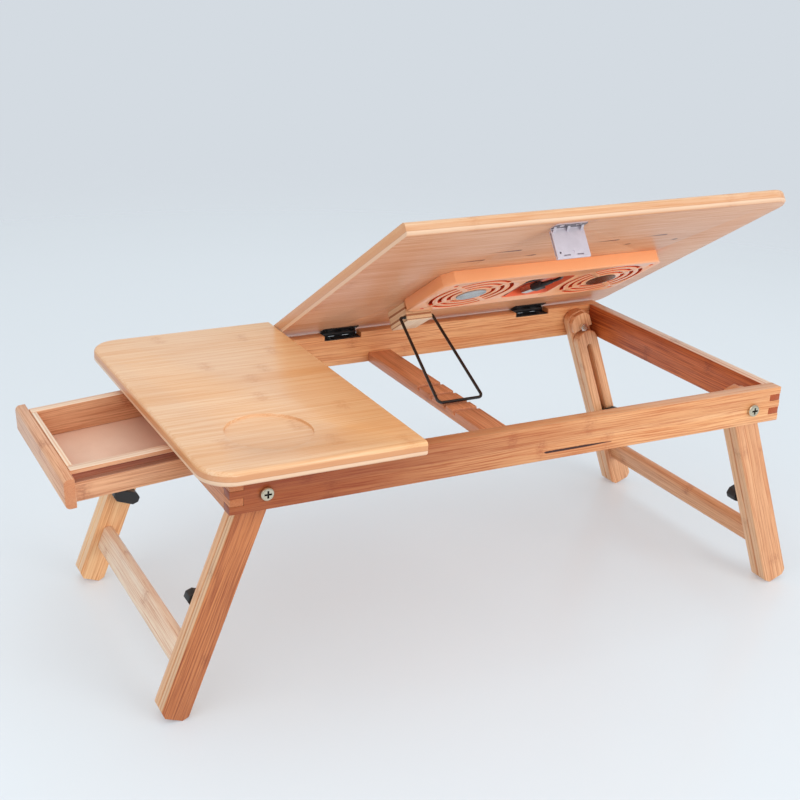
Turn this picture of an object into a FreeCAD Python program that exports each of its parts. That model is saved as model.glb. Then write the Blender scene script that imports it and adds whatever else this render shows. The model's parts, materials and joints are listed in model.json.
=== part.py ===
import FreeCAD, Part
import math
import os

from FreeCAD import Placement, Rotation, Vector

# Folding bamboo bed table with a tilting right-hand panel, cooling fans and a side drawer.
# Working frame: origin at the outer front left bottom corner of the apron, X along the long rails,
# Y towards the user's side with the hinges, Z up. Everything is moved at the end so that the origin
# is under the middle of the opened table, on the floor.

# apron
frame_length = 554.0
frame_width = 290.0
rail_height = 33.0
rail_thickness = 12.0
fingers_per_corner = 5

# top panels
panel_thickness = 12.5
left_overhang = 26.0
right_overhang = 20.0
front_overhang = 20.0
back_overhang = 20.0
fixed_panel_right = 164.0
panel_joint_gap = 0.7
panel_seat_gap = 0.3
fixed_corner_radius = 27.0
tilting_corner_radius = 22.0
panel_edge_round = 3.5
panel_edge_chamfer = 2.0
cup_radius = 37.0
cup_depth = 2.5
cup_from_left = 78.7
cup_from_front = 66.7

# panel hinges
tilt_at_rest = 33.3
knuckle_radius = 2.5
hinge_pin_radius = 1.25
pin_clearance = 0.05
hinge_out = 1.0
leaf_thickness = 1.0
leaf_length = 40.0
leaf_reach = 12.0
hinge_knuckles = 5
knuckle_relief = 0.3
hinge_notch_side_gap = 1.0
hinge_centres = (235.0, 466.0)
hinge_screw_spread = 26.0
hinge_screw_from_axis = 7.5
pin_overhang = 0.6

# screws
wood_screw_radius = 1.2
wood_screw_head_radius = 2.4
wood_screw_head_height = 1.2
wood_screw_length = 8.0
screw_clearance = 0.05

# legs
leg_splay = 20.5
leg_width = 26.0
leg_layer = 9.7
leg_side_gap = 0.3
leg_end_clearance = 0.3
leg_pivot_height = 14.0
leg_top_over_pivot = 16.0
leg_top_round = 10.0
foot_clip = 5.0
frame_above_floor = 185.0
leg_edge_round = 1.5
packer_thickness = 6.0
packer_half_width = 12.0
packer_top = 15.0
packer_bottom = 3.5
packer_clip = 6.0
slider_top = 5.5
slot_top = 21.8
slot_bottom = 118.0
slot_width = 6.0
stretcher_at = 164.0
stretcher_width = 26.0
stretcher_thickness = 11.5
knob_at = 114.0
knob_span = 26.0
knob_width = 12.5
knob_tip = 5.0
knob_end_slope = 4.5
knob_neck_radius = 6.2
knob_neck = 3.0
knob_height = 14.5
knob_edge = 1.2
stud_radius = 2.45
stud_cover = 3.0
stud_bore_clearance = 0.05

# leg pivot bolts
bolt_radius = 2.5
bolt_bore_clearance = 0.05
bolt_head_radius = 5.9
bolt_head_height = 3.2
bolt_recess_width = 1.7
bolt_recess_depth = 2.0
nut_radius = 4.6
nut_height = 3.6
bolt_past_nut = 0.8

# notched bar that the wire prop stands on
bar_left = 265.0
bar_width = 26.5
bar_height = 10.0
notch_walls = (103.6, 121.0, 145.9, 170.4)
notch_width = 4.7
notch_floor_width = 3.6
notch_depth = 4.0

# wire prop and its block
wire_radius = 1.5
prop_from_axis = 84.3
prop_below_panel = 14.6
prop_length = 106.46
prop_angle = 64.29
prop_top_width = 36.0
prop_bottom_width = 48.0
prop_bend = 4.5
prop_top_bend = 2.4
prop_hole_depth = 8.0
prop_centre = 282.7
block_centre = 284.3
block_width = 28.0
block_thickness = 19.0
block_near = 51.0
block_far = 88.0
block_edge = 0.8

# fan housing on the underside of the tilting panel
housing_left = 265.5
housing_length = 249.0
housing_near = 91.0
housing_far = 186.0
housing_thickness = 12.0
housing_corner = 9.0
housing_edge = 1.2
housing_wall = 2.0
grille_thickness = 2.0
fan_offsets = (51.0, 203.0)
fan_well_radius = 43.5
grille_rings = ((20.0, 24.0), (29.0, 33.0), (38.0, 42.0))
grille_spokes = 4
grille_spoke_width = 5.0
hub_disc_radius = 15.0
hub_disc_height = 0.8
motor_radius = 13.0
motor_height = 2.2
shaft_radius = 1.5
rotor_gap = 0.5
rotor_cup_radius = 14.5
rotor_height = 5.5
blade_tip_radius = 41.0
blade_count = 7
blade_thickness = 1.0
blade_pitch = 35.0
blade_chord = 8.0
fan_screw_square = 36.0
housing_screw_seat = 5.0
housing_screw_reach = 6.0
lead_well_left = 100.0
lead_well_length = 55.0
lead_well_near = 18.0
lead_well_width = 59.0
lead_well_corner = 6.0
lead_well_floor = 4.0

# lead coiled in the housing, in the well's own frame
lead_radius = 1.5
lead_depth = 8.8
lead_route = ((6.6, 0.3), (4.4, 41.0), (25.0, 54.8), (44.0, 52.0), (49.0, 41.5), (43.5, 32.5))
plug_body = (11.0, 12.0, 6.4)
plug_corner = 2.0
shell_size = (11.0, 11.5, 4.4)
shell_wall = 0.5
relief_length = 10.5
relief_radius = 2.6

# bent bracket near the front edge of the tilting panel, with a lip hinged along its lower edge
catch_left = 312.0
catch_width = 34.0
catch_sheet = 1.0
catch_knuckle = 1.6
catch_pin = 0.7
catch_knuckles = 5
catch_axis_back = 17.8
catch_length = 27.0
catch_flange = 10.0
catch_corner = 3.0
catch_hole = 1.0
catch_hole_in = 4.0
catch_dimple = 1.5
catch_gusset = 1.3
catch_gusset_reach = 4.0
catch_bend = 1.4

# drawer
drawer_from_front = 78.5
drawer_from_back = 70.5
drawer_length = 130.0
drawer_side = 10.0
drawer_height = 28.5
drawer_below_panel = 3.0
drawer_front_wall = 5.0
drawer_back_wall = 9.0
drawer_bottom_thickness = 2.6
drawer_open = 105.0
drawer_droop = 4.2
groove_below_rim = 3.7
groove_height = 7.7
groove_depth = 5.5
board_thickness = 9.5
board_height = 26.0
board_overhang = 14.0
board_below_rim = 0.5
board_round = 4.4
board_stop_gap = 0.5
drawer_side_gap = 2.0
peg_radius = 3.5
peg_shank_radius = 2.0
peg_shank = 9.0
peg_end_gap = 0.5
batten_width = 10.0
batten_end_margin = 2.0
ledge_thickness = 1.2
ledge_width = 20.0

# values worked out from the ones above
splay = math.radians(leg_splay)
sin_splay = math.sin(splay)
cos_splay = math.cos(splay)
panel_bottom = rail_height
panel_top = rail_height + panel_thickness
tilting_bottom = rail_height + panel_seat_gap
panel_front = -front_overhang
panel_back = frame_width + back_overhang
tilting_left = fixed_panel_right + panel_joint_gap
tilting_right = frame_length + right_overhang
hinge_y = frame_width + hinge_out
hinge_z = rail_height - knuckle_radius
hinge_axis = Vector(0, hinge_y, hinge_z)
hinge_floor = hinge_z - knuckle_radius - panel_seat_gap
layer_front = rail_thickness + leg_side_gap
slider_front = layer_front + leg_layer + leg_side_gap
slider_back = slider_front + leg_layer
leg_inset = rail_thickness + (leg_width / 2 + leg_end_clearance + leg_pivot_height * sin_splay) / cos_splay
leg_length = (frame_above_floor + leg_pivot_height - (leg_width / 2 - foot_clip) * sin_splay) / cos_splay
leg_centre = frame_width / 2
drawer_front_y = drawer_from_front
drawer_back_y = frame_width - drawer_from_back
drawer_centre = (drawer_front_y + drawer_back_y) / 2
drawer_rim = panel_bottom - drawer_below_panel
drawer_floor = drawer_rim - drawer_height
groove_centre = drawer_rim - groove_below_rim - groove_height / 2
peg_x = rail_thickness / 2
housing_right = housing_left + housing_length
housing_bottom = tilting_bottom - housing_thickness
fan_y = hinge_y - (housing_near + housing_far) / 2
catch_y = panel_front + catch_axis_back
catch_z = tilting_bottom - catch_length
catch_face = catch_y - catch_knuckle
prop_y = hinge_y - prop_from_axis
prop_z = tilting_bottom - prop_below_panel


def box(x0, y0, z0, x1, y1, z1):
    return Part.makeBox(x1 - x0, y1 - y0, z1 - z0, Vector(x0, y0, z0))


def rod(radius, length, start, direction):
    return Part.makeCylinder(radius, length, Vector(*start), Vector(*direction))


def cylinder_x(radius, x0, x1, y, z):
    return rod(radius, x1 - x0, (x0, y, z), (1, 0, 0))


def cylinder_y(radius, y0, y1, x, z):
    return rod(radius, y1 - y0, (x, y0, z), (0, 1, 0))


def cylinder_z(radius, z0, z1, x, y):
    return rod(radius, z1 - z0, (x, y, z0), (0, 0, 1))


def edges_where(shape, test):
    return [edge for edge in shape.Edges if test(edge.BoundBox)]


def is_upright(bounds):
    return bounds.XLength < 1e-6 and bounds.YLength < 1e-6


def outline_face(points):
    return Part.Face(Part.makePolygon([*points, points[0]]))


def turned(shape, centre, axis, angle):
    copy = shape.copy()
    copy.rotate(Vector(*centre), Vector(*axis), angle)
    return copy


def mirrored(shape, point, normal):
    return shape.mirror(Vector(*point), Vector(*normal))


def opened(shape):
    """The tilting panel's pieces are drawn closed and turned up about the hinge."""
    return turned(shape, hinge_axis, (1, 0, 0), -tilt_at_rest)


# apron

def finger_levels(first):
    step = rail_height / fingers_per_corner
    return [(k * step, (k + 1) * step) for k in range(first, fingers_per_corner, 2)]


def long_rail():
    """Front rail; its ends are slotted for the end rails' fingers and it takes two leg bolts."""
    rail = box(0, 0, 0, frame_length, rail_thickness, rail_height)
    for low, high in finger_levels(1):
        rail = rail.cut(box(0, 0, low, rail_thickness, rail_thickness, high))
        rail = rail.cut(box(frame_length - rail_thickness, 0, low, frame_length, rail_thickness, high))
    for x in (leg_inset, frame_length - leg_inset):
        rail = rail.cut(cylinder_y(bolt_radius + bolt_bore_clearance, 0, rail_thickness, x, leg_pivot_height))
    return rail


def back_rail():
    rail = mirrored(long_rail(), (0, leg_centre, 0), (0, 1, 0))
    half = leaf_length / 2 + hinge_notch_side_gap
    for x in hinge_centres:
        inner = frame_width - rail_thickness
        rail = rail.cut(box(x - half, inner, hinge_floor, x + half, frame_width, rail_height))
    return rail.cut(leaf_screws(screw_clearance))


def end_rail():
    """Left end rail at full length, with fingers into both long rails."""
    rail = box(0, 0, 0, rail_thickness, frame_width, rail_height)
    for low, high in finger_levels(0):
        rail = rail.cut(box(0, 0, low, rail_thickness, rail_thickness, high))
        rail = rail.cut(box(0, frame_width - rail_thickness, low, rail_thickness, frame_width, high))
    return rail


def end_rail_stub():
    """The left end rail stops short of the drawer and carries one of its guide pegs."""
    reach = drawer_front_y - drawer_side_gap
    stub = end_rail().cut(box(0, reach, 0, rail_thickness, frame_width, rail_height))
    bore = peg_shank_radius + pin_clearance
    return stub.cut(cylinder_y(bore, reach - peg_shank, reach, peg_x, groove_centre))


def notched_bar():
    """Bar with four notches across it, each with an upright front wall and a sloping back wall."""
    floor = bar_height - notch_depth
    profile = [(rail_thickness, 0), (rail_thickness, bar_height)]
    for wall in notch_walls:
        profile += [(wall, bar_height), (wall, floor), (wall + notch_floor_width, floor)]
        profile += [(wall + notch_width, bar_height)]
    profile += [(frame_width - rail_thickness, bar_height), (frame_width - rail_thickness, 0)]
    face = outline_face([Vector(bar_left, y, z) for y, z in profile])
    return face.extrude(Vector(bar_width, 0, 0))


# top panels

def rounded_slab(x0, x1, bottom, corner_radius, round_left):
    """A panel with two rounded corners, a rounded upper edge and a small chamfer below."""
    slab = box(x0, panel_front, bottom, x1, panel_back, panel_top)
    side = x0 if round_left else x1
    corners = edges_where(slab, lambda b: is_upright(b) and abs(b.XMin - side) < 1e-6)
    slab = slab.makeFillet(corner_radius, corners)
    square = x1 if round_left else x0

    def free_edge(level):
        return lambda b: b.ZLength < 1e-6 and abs(b.ZMin - level) < 1e-6 and not (
            abs(b.XMin - square) < 1e-6 and abs(b.XMax - square) < 1e-6)

    slab = slab.makeFillet(panel_edge_round, edges_where(slab, free_edge(panel_top)))
    return slab.makeChamfer(panel_edge_chamfer, edges_where(slab, free_edge(bottom)))


def fixed_panel():
    panel = rounded_slab(-left_overhang, fixed_panel_right, panel_bottom, fixed_corner_radius, True)
    x = cup_from_left - left_overhang
    y = cup_from_front - front_overhang
    return panel.cut(cylinder_z(cup_radius, panel_top - cup_depth, panel_top + 1, x, y))


def tilting_panel_closed():
    slab = rounded_slab(tilting_left, tilting_right, tilting_bottom, tilting_corner_radius, False)
    slab = slab.cut(panel_leaf_screws(screw_clearance))
    slab = slab.cut(catch_screws(screw_clearance))
    return slab.cut(housing_screws(screw_clearance))


# hinges between the back rail and the tilting panel

def knuckle_spans(count, length):
    step = length / count
    return [(k * step, (k + 1) * step) for k in range(count)]


def hinge_leaf(x, upper):
    """One leaf of a butt hinge: a plate and every second knuckle round the pin."""
    start = x - leaf_length / 2
    side = 1 if upper else -1
    outer = tilting_bottom if upper else hinge_floor
    inner = outer - side * leaf_thickness
    low, high = min(outer, inner), max(outer, inner)
    leaf = box(start, hinge_y - leaf_reach, low, start + leaf_length, hinge_y, high)
    spans = knuckle_spans(hinge_knuckles, leaf_length)
    clear = knuckle_radius + knuckle_relief
    for k, (a, b) in enumerate(spans):
        own = (k % 2 == 1) == upper
        if own:
            leaf = leaf.fuse(cylinder_x(knuckle_radius, start + a, start + b, hinge_y, hinge_z))
            web_low, web_high = min(hinge_z, outer), max(hinge_z, outer)
            web = box(start + a, hinge_y - knuckle_radius, web_low, start + b, hinge_y - 1, web_high)
            leaf = leaf.fuse(web)
    for k, (a, b) in enumerate(spans):
        if (k % 2 == 1) != upper:
            side_gap = pin_clearance
            leaf = leaf.cut(cylinder_x(clear, start + a - side_gap, start + b + side_gap, hinge_y, hinge_z))
            leaf = leaf.cut(box(start + a - side_gap, hinge_y - clear, hinge_z - clear - 1,
                                start + b + side_gap, hinge_y + clear, hinge_z + clear + 1))
    bore = hinge_pin_radius + pin_clearance
    leaf = leaf.cut(cylinder_x(bore, start - 1, start + leaf_length + 1, hinge_y, hinge_z))
    return leaf.removeSplitter()


def countersunk(x, y, face, up, clearance):
    """A countersunk wood screw; up is +1 when its head faces up."""
    radius = wood_screw_radius + clearance
    head = wood_screw_head_radius + clearance
    cone = Part.makeCone(head, radius, wood_screw_head_height, Vector(x, y, face), Vector(0, 0, -up))
    return cone.fuse(rod(radius, wood_screw_length, (x, y, face), (0, 0, -up)))


def screw_row(xs, y, face, up, clearance):
    return Part.makeCompound([countersunk(x, y, face, up, clearance) for x in xs])


def leaf_screws(clearance):
    xs = [x + s * hinge_screw_spread / 2 for x in hinge_centres for s in (-1, 1)]
    return screw_row(xs, hinge_y - hinge_screw_from_axis, hinge_floor + leaf_thickness, 1, clearance)


def panel_leaf_screws(clearance):
    xs = [x + s * hinge_screw_spread / 2 for x in hinge_centres for s in (-1, 1)]
    return screw_row(xs, hinge_y - hinge_screw_from_axis, tilting_bottom - leaf_thickness, -1, clearance)


def hinge_pin(x):
    half = leaf_length / 2
    pin = cylinder_x(hinge_pin_radius, x - half - pin_overhang, x + half + pin_overhang, hinge_y, hinge_z)
    return pin.makeChamfer(0.3, pin.Edges[0:1])


# legs, drawn with the leg axis along -Z from the pivot at the origin and the outer face at y = 0

def at_leg(shape):
    """Turn a left front leg piece out by the splay and put it on its pivot."""
    leg = turned(shape, (0, 0, 0), (0, 1, 0), leg_splay)
    leg.translate(Vector(leg_inset, 0, leg_pivot_height))
    return leg


def corner_copies(shape):
    """The left front piece and its copies: left back, right front and right back."""
    left_back = mirrored(shape, (0, leg_centre, 0), (0, 1, 0))
    right_front = mirrored(shape, (frame_length / 2, 0, 0), (1, 0, 0))
    right_back = mirrored(left_back, (frame_length / 2, 0, 0), (1, 0, 0))
    return {"left_front": shape, "left_back": left_back, "right_front": right_front, "right_back": right_back}


def leg_bar(top, top_radius, y0, y1):
    """A flat bar with a rounded top and a clipped foot."""
    half = leg_width / 2
    foot = -leg_length
    profile = outline_face([
        Vector(-half, y0, top), Vector(half, y0, top), Vector(half, y0, foot + foot_clip),
        Vector(half - foot_clip, y0, foot), Vector(foot_clip - half, y0, foot),
        Vector(-half, y0, foot + foot_clip)])
    bar = profile.extrude(Vector(0, y1 - y0, 0))

    def is_top(b):
        return b.XLength < 1e-6 and b.ZLength < 1e-6 and abs(b.ZMin - top) < 1e-6

    bar = bar.makeFillet(min(top_radius, half - 0.01), edges_where(bar, is_top))

    def is_long(b):
        return b.XLength < 1e-6 and b.YLength < 1e-6 and b.ZLength > leg_length / 2

    return bar.makeFillet(leg_edge_round, edges_where(bar, is_long))


def outer_leg():
    bar = leg_bar(leg_top_over_pivot, leg_top_round, layer_front, layer_front + leg_layer)
    bar = bar.cut(cylinder_y(bolt_radius + bolt_bore_clearance, 0, slider_back, 0, 0))
    bottom = layer_front + stud_cover - leg_side_gap
    return bar.cut(cylinder_y(stud_radius + stud_bore_clearance, bottom, slider_back, 0, -knob_at))


def leg_packer():
    """Block glued on the outer bar above the sliding bar; the pivot nut bears on it."""
    y0 = layer_front + leg_layer
    w = packer_half_width
    profile = outline_face([
        Vector(-w, y0, -packer_bottom), Vector(w, y0, -packer_bottom), Vector(w, y0, packer_top - packer_clip),
        Vector(w - packer_clip, y0, packer_top), Vector(packer_clip - w, y0, packer_top),
        Vector(-w, y0, packer_top - packer_clip)])
    packer = profile.extrude(Vector(0, packer_thickness, 0))
    bore = cylinder_y(bolt_radius + bolt_bore_clearance, 0, slider_back, 0, 0)
    return packer.cut(bore)


def slider_leg():
    """Sliding inner bar with a long slot for the knob's stud."""
    bar = leg_bar(-slider_top, leg_width / 2, slider_front, slider_back)
    r = slot_width / 2
    slot = box(-r, slider_front, -slot_bottom + r, r, slider_back, -slot_top - r)
    slot = slot.fuse(cylinder_y(r, slider_front, slider_back, 0, -slot_top - r))
    slot = slot.fuse(cylinder_y(r, slider_front, slider_back, 0, -slot_bottom + r))
    return bar.cut(slot)


def stretcher():
    """Flat oval bar between the two sliding bars of one side."""
    half = stretcher_thickness / 2
    reach = stretcher_width / 2 - half
    y1 = frame_width - slider_back
    core = box(-half, slider_back, -stretcher_at - reach, half, y1, -stretcher_at + reach)
    for z in (-stretcher_at - reach, -stretcher_at + reach):
        core = core.fuse(cylinder_y(half, slider_back, y1, 0, z))
    return core.removeSplitter()


def knob():
    """Wing knob moulded on a stud that goes through the slot into a blind hole in the outer bar."""
    y0 = slider_back + leg_side_gap
    grip_start = y0 + knob_neck
    y1 = y0 + knob_height
    end, shoulder = knob_span / 2, knob_span / 2 - knob_end_slope
    outline = [
        (-end, knob_tip / 2), (-shoulder, knob_width / 2), (shoulder, knob_width / 2), (end, knob_tip / 2),
        (end, -knob_tip / 2), (shoulder, -knob_width / 2), (-shoulder, -knob_width / 2), (-end, -knob_tip / 2)]
    wing = outline_face([Vector(x, grip_start, z - knob_at) for x, z in outline])
    wing = wing.extrude(Vector(0, y1 - grip_start, 0))
    wing = wing.makeFillet(knob_edge, edges_where(wing, lambda b: b.YMin > grip_start + knob_edge))
    neck = cylinder_y(knob_neck_radius, y0, grip_start, 0, -knob_at)
    stud = cylinder_y(stud_radius, layer_front + stud_cover, y0, 0, -knob_at)
    return wing.fuse(neck).fuse(stud)


def pivot_bolt():
    """Pan head machine screw through the rail, the leg and its packer."""
    end = slider_front - leg_side_gap + packer_thickness + nut_height + bolt_past_nut
    shank = cylinder_y(bolt_radius, 0, end, 0, 0)
    head = cylinder_y(bolt_head_radius, -bolt_head_height, 0, 0, 0)
    rim = edges_where(head, lambda b: b.YLength < 1e-6 and b.YMin < -bolt_head_height / 2)
    head = head.makeFillet(bolt_head_height * 0.6, rim)
    half = bolt_recess_width / 2
    long = bolt_head_radius * 0.55
    floor = -bolt_head_height + bolt_recess_depth
    head = head.cut(box(-long, -bolt_head_height, -half, long, floor, half))
    head = head.cut(box(-half, -bolt_head_height, -long, half, floor, long))
    return head.fuse(shank)


def pivot_nut():
    y0 = slider_front - leg_side_gap + packer_thickness
    points = []
    for k in range(6):
        angle = math.radians(60 * k)
        points.append(Vector(nut_radius * math.cos(angle), y0, nut_radius * math.sin(angle)))
    nut = outline_face(points).extrude(Vector(0, nut_height, 0))
    return nut.cut(cylinder_y(bolt_radius + bolt_bore_clearance, y0, y0 + nut_height, 0, 0))


# wire prop

def prop_block_closed():
    """Laminated block under the panel, with holes in its sides for the wire's ends."""
    x0 = block_centre - block_width / 2
    low = tilting_bottom - block_thickness
    block = box(x0, hinge_y - block_far, low, x0 + block_width, hinge_y - block_near, tilting_bottom)
    block = block.makeChamfer(block_edge, edges_where(block, lambda b: b.ZMax < low + 1e-6))
    bore = wire_radius + pin_clearance
    for side in (-1, 1):
        edge = block_centre + side * block_width / 2
        inner = edge - side * prop_hole_depth
        block = block.cut(cylinder_x(bore, min(edge, inner), max(edge, inner), prop_y, prop_z))
    return block


def wire_path(points, bends):
    """Straight runs joined by tangent arcs, one radius for each corner."""
    edges = []
    start = points[0]
    for before, corner, after, bend in zip(points, points[1:], points[2:], bends):
        into = (corner - before).normalize()
        out = (after - corner).normalize()
        half_turn = into.getAngle(out) / 2
        trim = bend * math.tan(half_turn)
        first = corner - into * trim
        last = corner + out * trim
        bisector = (out - into).normalize()
        middle = corner + bisector * (bend / math.cos(half_turn) - bend)
        edges.append(Part.LineSegment(start, first).toShape())
        edges.append(Part.Arc(first, middle, last).toShape())
        start = last
    edges.append(Part.LineSegment(start, points[-1]).toShape())
    return Part.Wire(edges)


def tube(path, radius):
    start = path.OrderedEdges[0]
    direction = start.tangentAt(start.FirstParameter)
    ring = Part.Wire(Part.makeCircle(radius, path.OrderedVertexes[0].Point, direction))
    return path.makePipeShell([ring], True, False)


def wire_prop():
    """Bent wire with its two ends in the block and its cross bar over the notched bar."""
    top = prop_top_width / 2
    bottom = prop_bottom_width / 2
    inner = block_width / 2 - prop_hole_depth + 1
    angle = math.radians(prop_angle)
    along = Vector(0, -math.cos(angle), -math.sin(angle))
    pivot = Vector(prop_centre, prop_y, prop_z)
    middle = Vector(block_centre, prop_y, prop_z)
    x = Vector(1, 0, 0)
    points = [
        middle - x * inner, pivot - x * top, pivot - x * bottom + along * prop_length,
        pivot + x * bottom + along * prop_length, pivot + x * top, middle + x * inner]
    bends = (prop_top_bend, prop_bend, prop_bend, prop_top_bend)
    return opened(tube(wire_path(points, bends), wire_radius))


# fan housing

def from_housing(x, s):
    """Housing coordinates: x from its left end, s from its edge nearest the hinge."""
    return housing_left + x, hinge_y - housing_near - s


def housing_blank(inset, low, high):
    depth = housing_far - housing_near
    x0, near = from_housing(inset, inset)
    x1, far = from_housing(housing_length - inset, depth - inset)
    c = housing_corner - inset * (2 - math.sqrt(2))
    points = [
        Vector(x0 + c, far, low), Vector(x1 - c, far, low), Vector(x1, far + c, low), Vector(x1, near - c, low),
        Vector(x1 - c, near, low), Vector(x0 + c, near, low), Vector(x0, near - c, low), Vector(x0, far + c, low)]
    return outline_face(points).extrude(Vector(0, 0, high - low))


def fan_centre(k):
    return housing_left + fan_offsets[k], fan_y


def grille_slots(x, y):
    """Ring slots round the hub, left whole where the spokes run."""
    low = housing_bottom - 1
    high = housing_bottom + grille_thickness
    slots = []
    for inner, outer in grille_rings:
        slots.append(cylinder_z(outer, low, high, x, y).cut(cylinder_z(inner, low, high, x, y)))
    rings = Part.makeCompound(slots)
    reach = fan_well_radius
    for k in range(grille_spokes // 2):
        bar = box(-reach, -grille_spoke_width / 2, low, reach, grille_spoke_width / 2, high)
        bar = turned(bar, (0, 0, 0), (0, 0, 1), 45 + 180 * k / (grille_spokes // 2))
        bar.translate(Vector(x, y, 0))
        rings = rings.cut(bar)
    return rings


def lead_well():
    x0, y1 = from_housing(lead_well_left, lead_well_near)
    well = box(x0, y1 - lead_well_width, housing_bottom - 1,
               x0 + lead_well_length, y1, tilting_bottom - lead_well_floor)
    return well.makeFillet(lead_well_corner, edges_where(well, is_upright))


def screw_corners():
    corners = []
    for k in range(2):
        x, y = fan_centre(k)
        side = -1 if k == 0 else 1
        corners += [(x + side * fan_screw_square, y - fan_screw_square),
                    (x + side * fan_screw_square, y + fan_screw_square)]
    return corners


def housing_screws(clearance):
    """Long screws from the housing's face into the panel, their heads sunk in wells."""
    screws = []
    seat = housing_bottom + housing_screw_seat
    top = tilting_bottom + housing_screw_reach
    for x, y in screw_corners():
        head = cylinder_z(wood_screw_head_radius + clearance, seat, seat + wood_screw_head_height, x, y)
        screws.append(head.fuse(cylinder_z(wood_screw_radius + clearance, seat, top, x, y)))
    return Part.makeCompound(screws)


def fan_housing_closed():
    housing = housing_blank(0, housing_bottom, tilting_bottom)
    rim = edges_where(housing, lambda b: b.ZLength < 1e-6 and abs(b.ZMin - housing_bottom) < 1e-6)
    housing = housing.makeChamfer(housing_edge, rim)
    for k in range(2):
        x, y = fan_centre(k)
        housing = housing.cut(cylinder_z(fan_well_radius, housing_bottom + grille_thickness, tilting_bottom, x, y))
        housing = housing.cut(grille_slots(x, y))
        bore = shaft_radius + pin_clearance
        housing = housing.cut(cylinder_z(bore, housing_bottom, housing_bottom + grille_thickness, x, y))
    housing = housing.cut(lead_well())
    for x, y in screw_corners():
        head = wood_screw_head_radius + screw_clearance
        housing = housing.cut(cylinder_z(head, housing_bottom, housing_bottom + housing_screw_seat, x, y))
    return housing.cut(housing_screws(screw_clearance))


def fan_motor_closed(k):
    """Round motor fixed behind the hub disc, with the shaft that carries the rotor."""
    x, y = fan_centre(k)
    seat = housing_bottom + grille_thickness
    disc = cylinder_z(hub_disc_radius, housing_bottom - hub_disc_height, housing_bottom, x, y)
    body = cylinder_z(motor_radius, seat, seat + motor_height, x, y)
    shaft = cylinder_z(shaft_radius, housing_bottom, tilting_bottom - rotor_gap, x, y)
    return disc.fuse(body).fuse(shaft)


def fan_rotor_closed(k):
    """Cup over the motor with seven pitched blades."""
    x, y = fan_centre(k)
    low = housing_bottom + grille_thickness + motor_height + rotor_gap
    high = tilting_bottom - 2 * rotor_gap
    rotor = cylinder_z(rotor_cup_radius, low, high, x, y)
    blade_low = (low + high) / 2
    for n in range(blade_count):
        blade = box(rotor_cup_radius - 2, -blade_chord / 2, -blade_thickness / 2,
                    blade_tip_radius, blade_chord / 2, blade_thickness / 2)
        blade = turned(blade, (0, 0, 0), (1, 0, 0), blade_pitch)
        blade = turned(blade, (0, 0, 0), (0, 0, 1), 360 * n / blade_count)
        blade.translate(Vector(x, y, blade_low))
        rotor = rotor.fuse(blade)
    slab = cylinder_z(blade_tip_radius, low, high, x, y)
    rotor = rotor.common(slab)
    return rotor.cut(cylinder_z(shaft_radius + pin_clearance, low - 1, high + 1, x, y))


# lead and plug

def in_well(x, s, depth):
    """Well coordinates: x from its left wall, s from the wall nearest the hinge, depth under the panel."""
    wx, wy = from_housing(lead_well_left + x, lead_well_near + s)
    return Vector(wx, wy, tilting_bottom - depth)


def lead_path():
    points = [in_well(x, s, lead_depth) for x, s in lead_route]
    runs = [(b - a).Length for a, b in zip(points, points[1:])]
    edges = []
    start = points[0]
    for k in range(1, len(points) - 1):
        into = (points[k] - points[k - 1]).normalize()
        out = (points[k + 1] - points[k]).normalize()
        half_turn = into.getAngle(out) / 2
        radius = 0.45 * min(runs[k - 1], runs[k]) / math.tan(half_turn)
        print("lead bend", k, "radius", round(radius, 1))
        trim = radius * math.tan(half_turn)
        first = points[k] - into * trim
        last = points[k] + out * trim
        bisector = (out - into).normalize()
        middle = points[k] + bisector * (radius / math.cos(half_turn) - radius)
        edges.append(Part.LineSegment(start, first).toShape())
        edges.append(Part.Arc(first, middle, last).toShape())
        start = last
    edges.append(Part.LineSegment(start, points[-1]).toShape())
    return Part.Wire(edges)


def plug_frame(shape):
    """Plug pieces are drawn along +X from the lead's end, then laid in the well."""
    end = in_well(*lead_route[-1], lead_depth)
    last = in_well(*lead_route[-2], lead_depth)
    way = end - last
    angle = math.degrees(math.atan2(way.y, way.x))
    piece = turned(shape, (0, 0, 0), (0, 0, 1), angle)
    piece.translate(end)
    return piece


def plug_body_closed():
    long, wide, high = plug_body
    body = box(relief_length, -wide / 2, -high / 2, relief_length + long, wide / 2, high / 2)
    body = body.makeFillet(plug_corner, edges_where(body, is_upright))
    relief = Part.makeCone(relief_radius * 0.8, relief_radius, relief_length + 1, Vector(0, 0, 0), Vector(1, 0, 0))
    return plug_frame(body.fuse(relief))


def plug_shell_closed():
    long, wide, high = shell_size
    start = relief_length + plug_body[0]
    shell = box(start, -wide / 2, -high / 2, start + long, wide / 2, high / 2)
    w = shell_wall
    hollow = box(start + 1, w - wide / 2, 0, start + long, wide / 2 - w, high / 2 - w)
    return plug_frame(shell.cut(hollow))


# bracket and lip at the front edge

def catch_spans(odd):
    """Every second span of the knuckle row along the bracket's lower edge."""
    spans = knuckle_spans(catch_knuckles, catch_width)
    return [(catch_left + a, catch_left + b) for a, b in spans[odd::2]]


def catch_relief(shape, odd):
    """Room for the other piece's knuckles."""
    radius = catch_knuckle + knuckle_relief
    for a, b in catch_spans(odd):
        shape = shape.cut(box(a - pin_clearance, catch_y - radius, catch_z - radius,
                              b + pin_clearance, catch_y + radius, catch_z + radius))
    return shape


def catch_screws(clearance):
    xs = [catch_left + catch_width * f for f in (0.25, 0.75)]
    return screw_row(xs, catch_face - catch_flange * 0.6, tilting_bottom - catch_sheet, -1, clearance)


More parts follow.
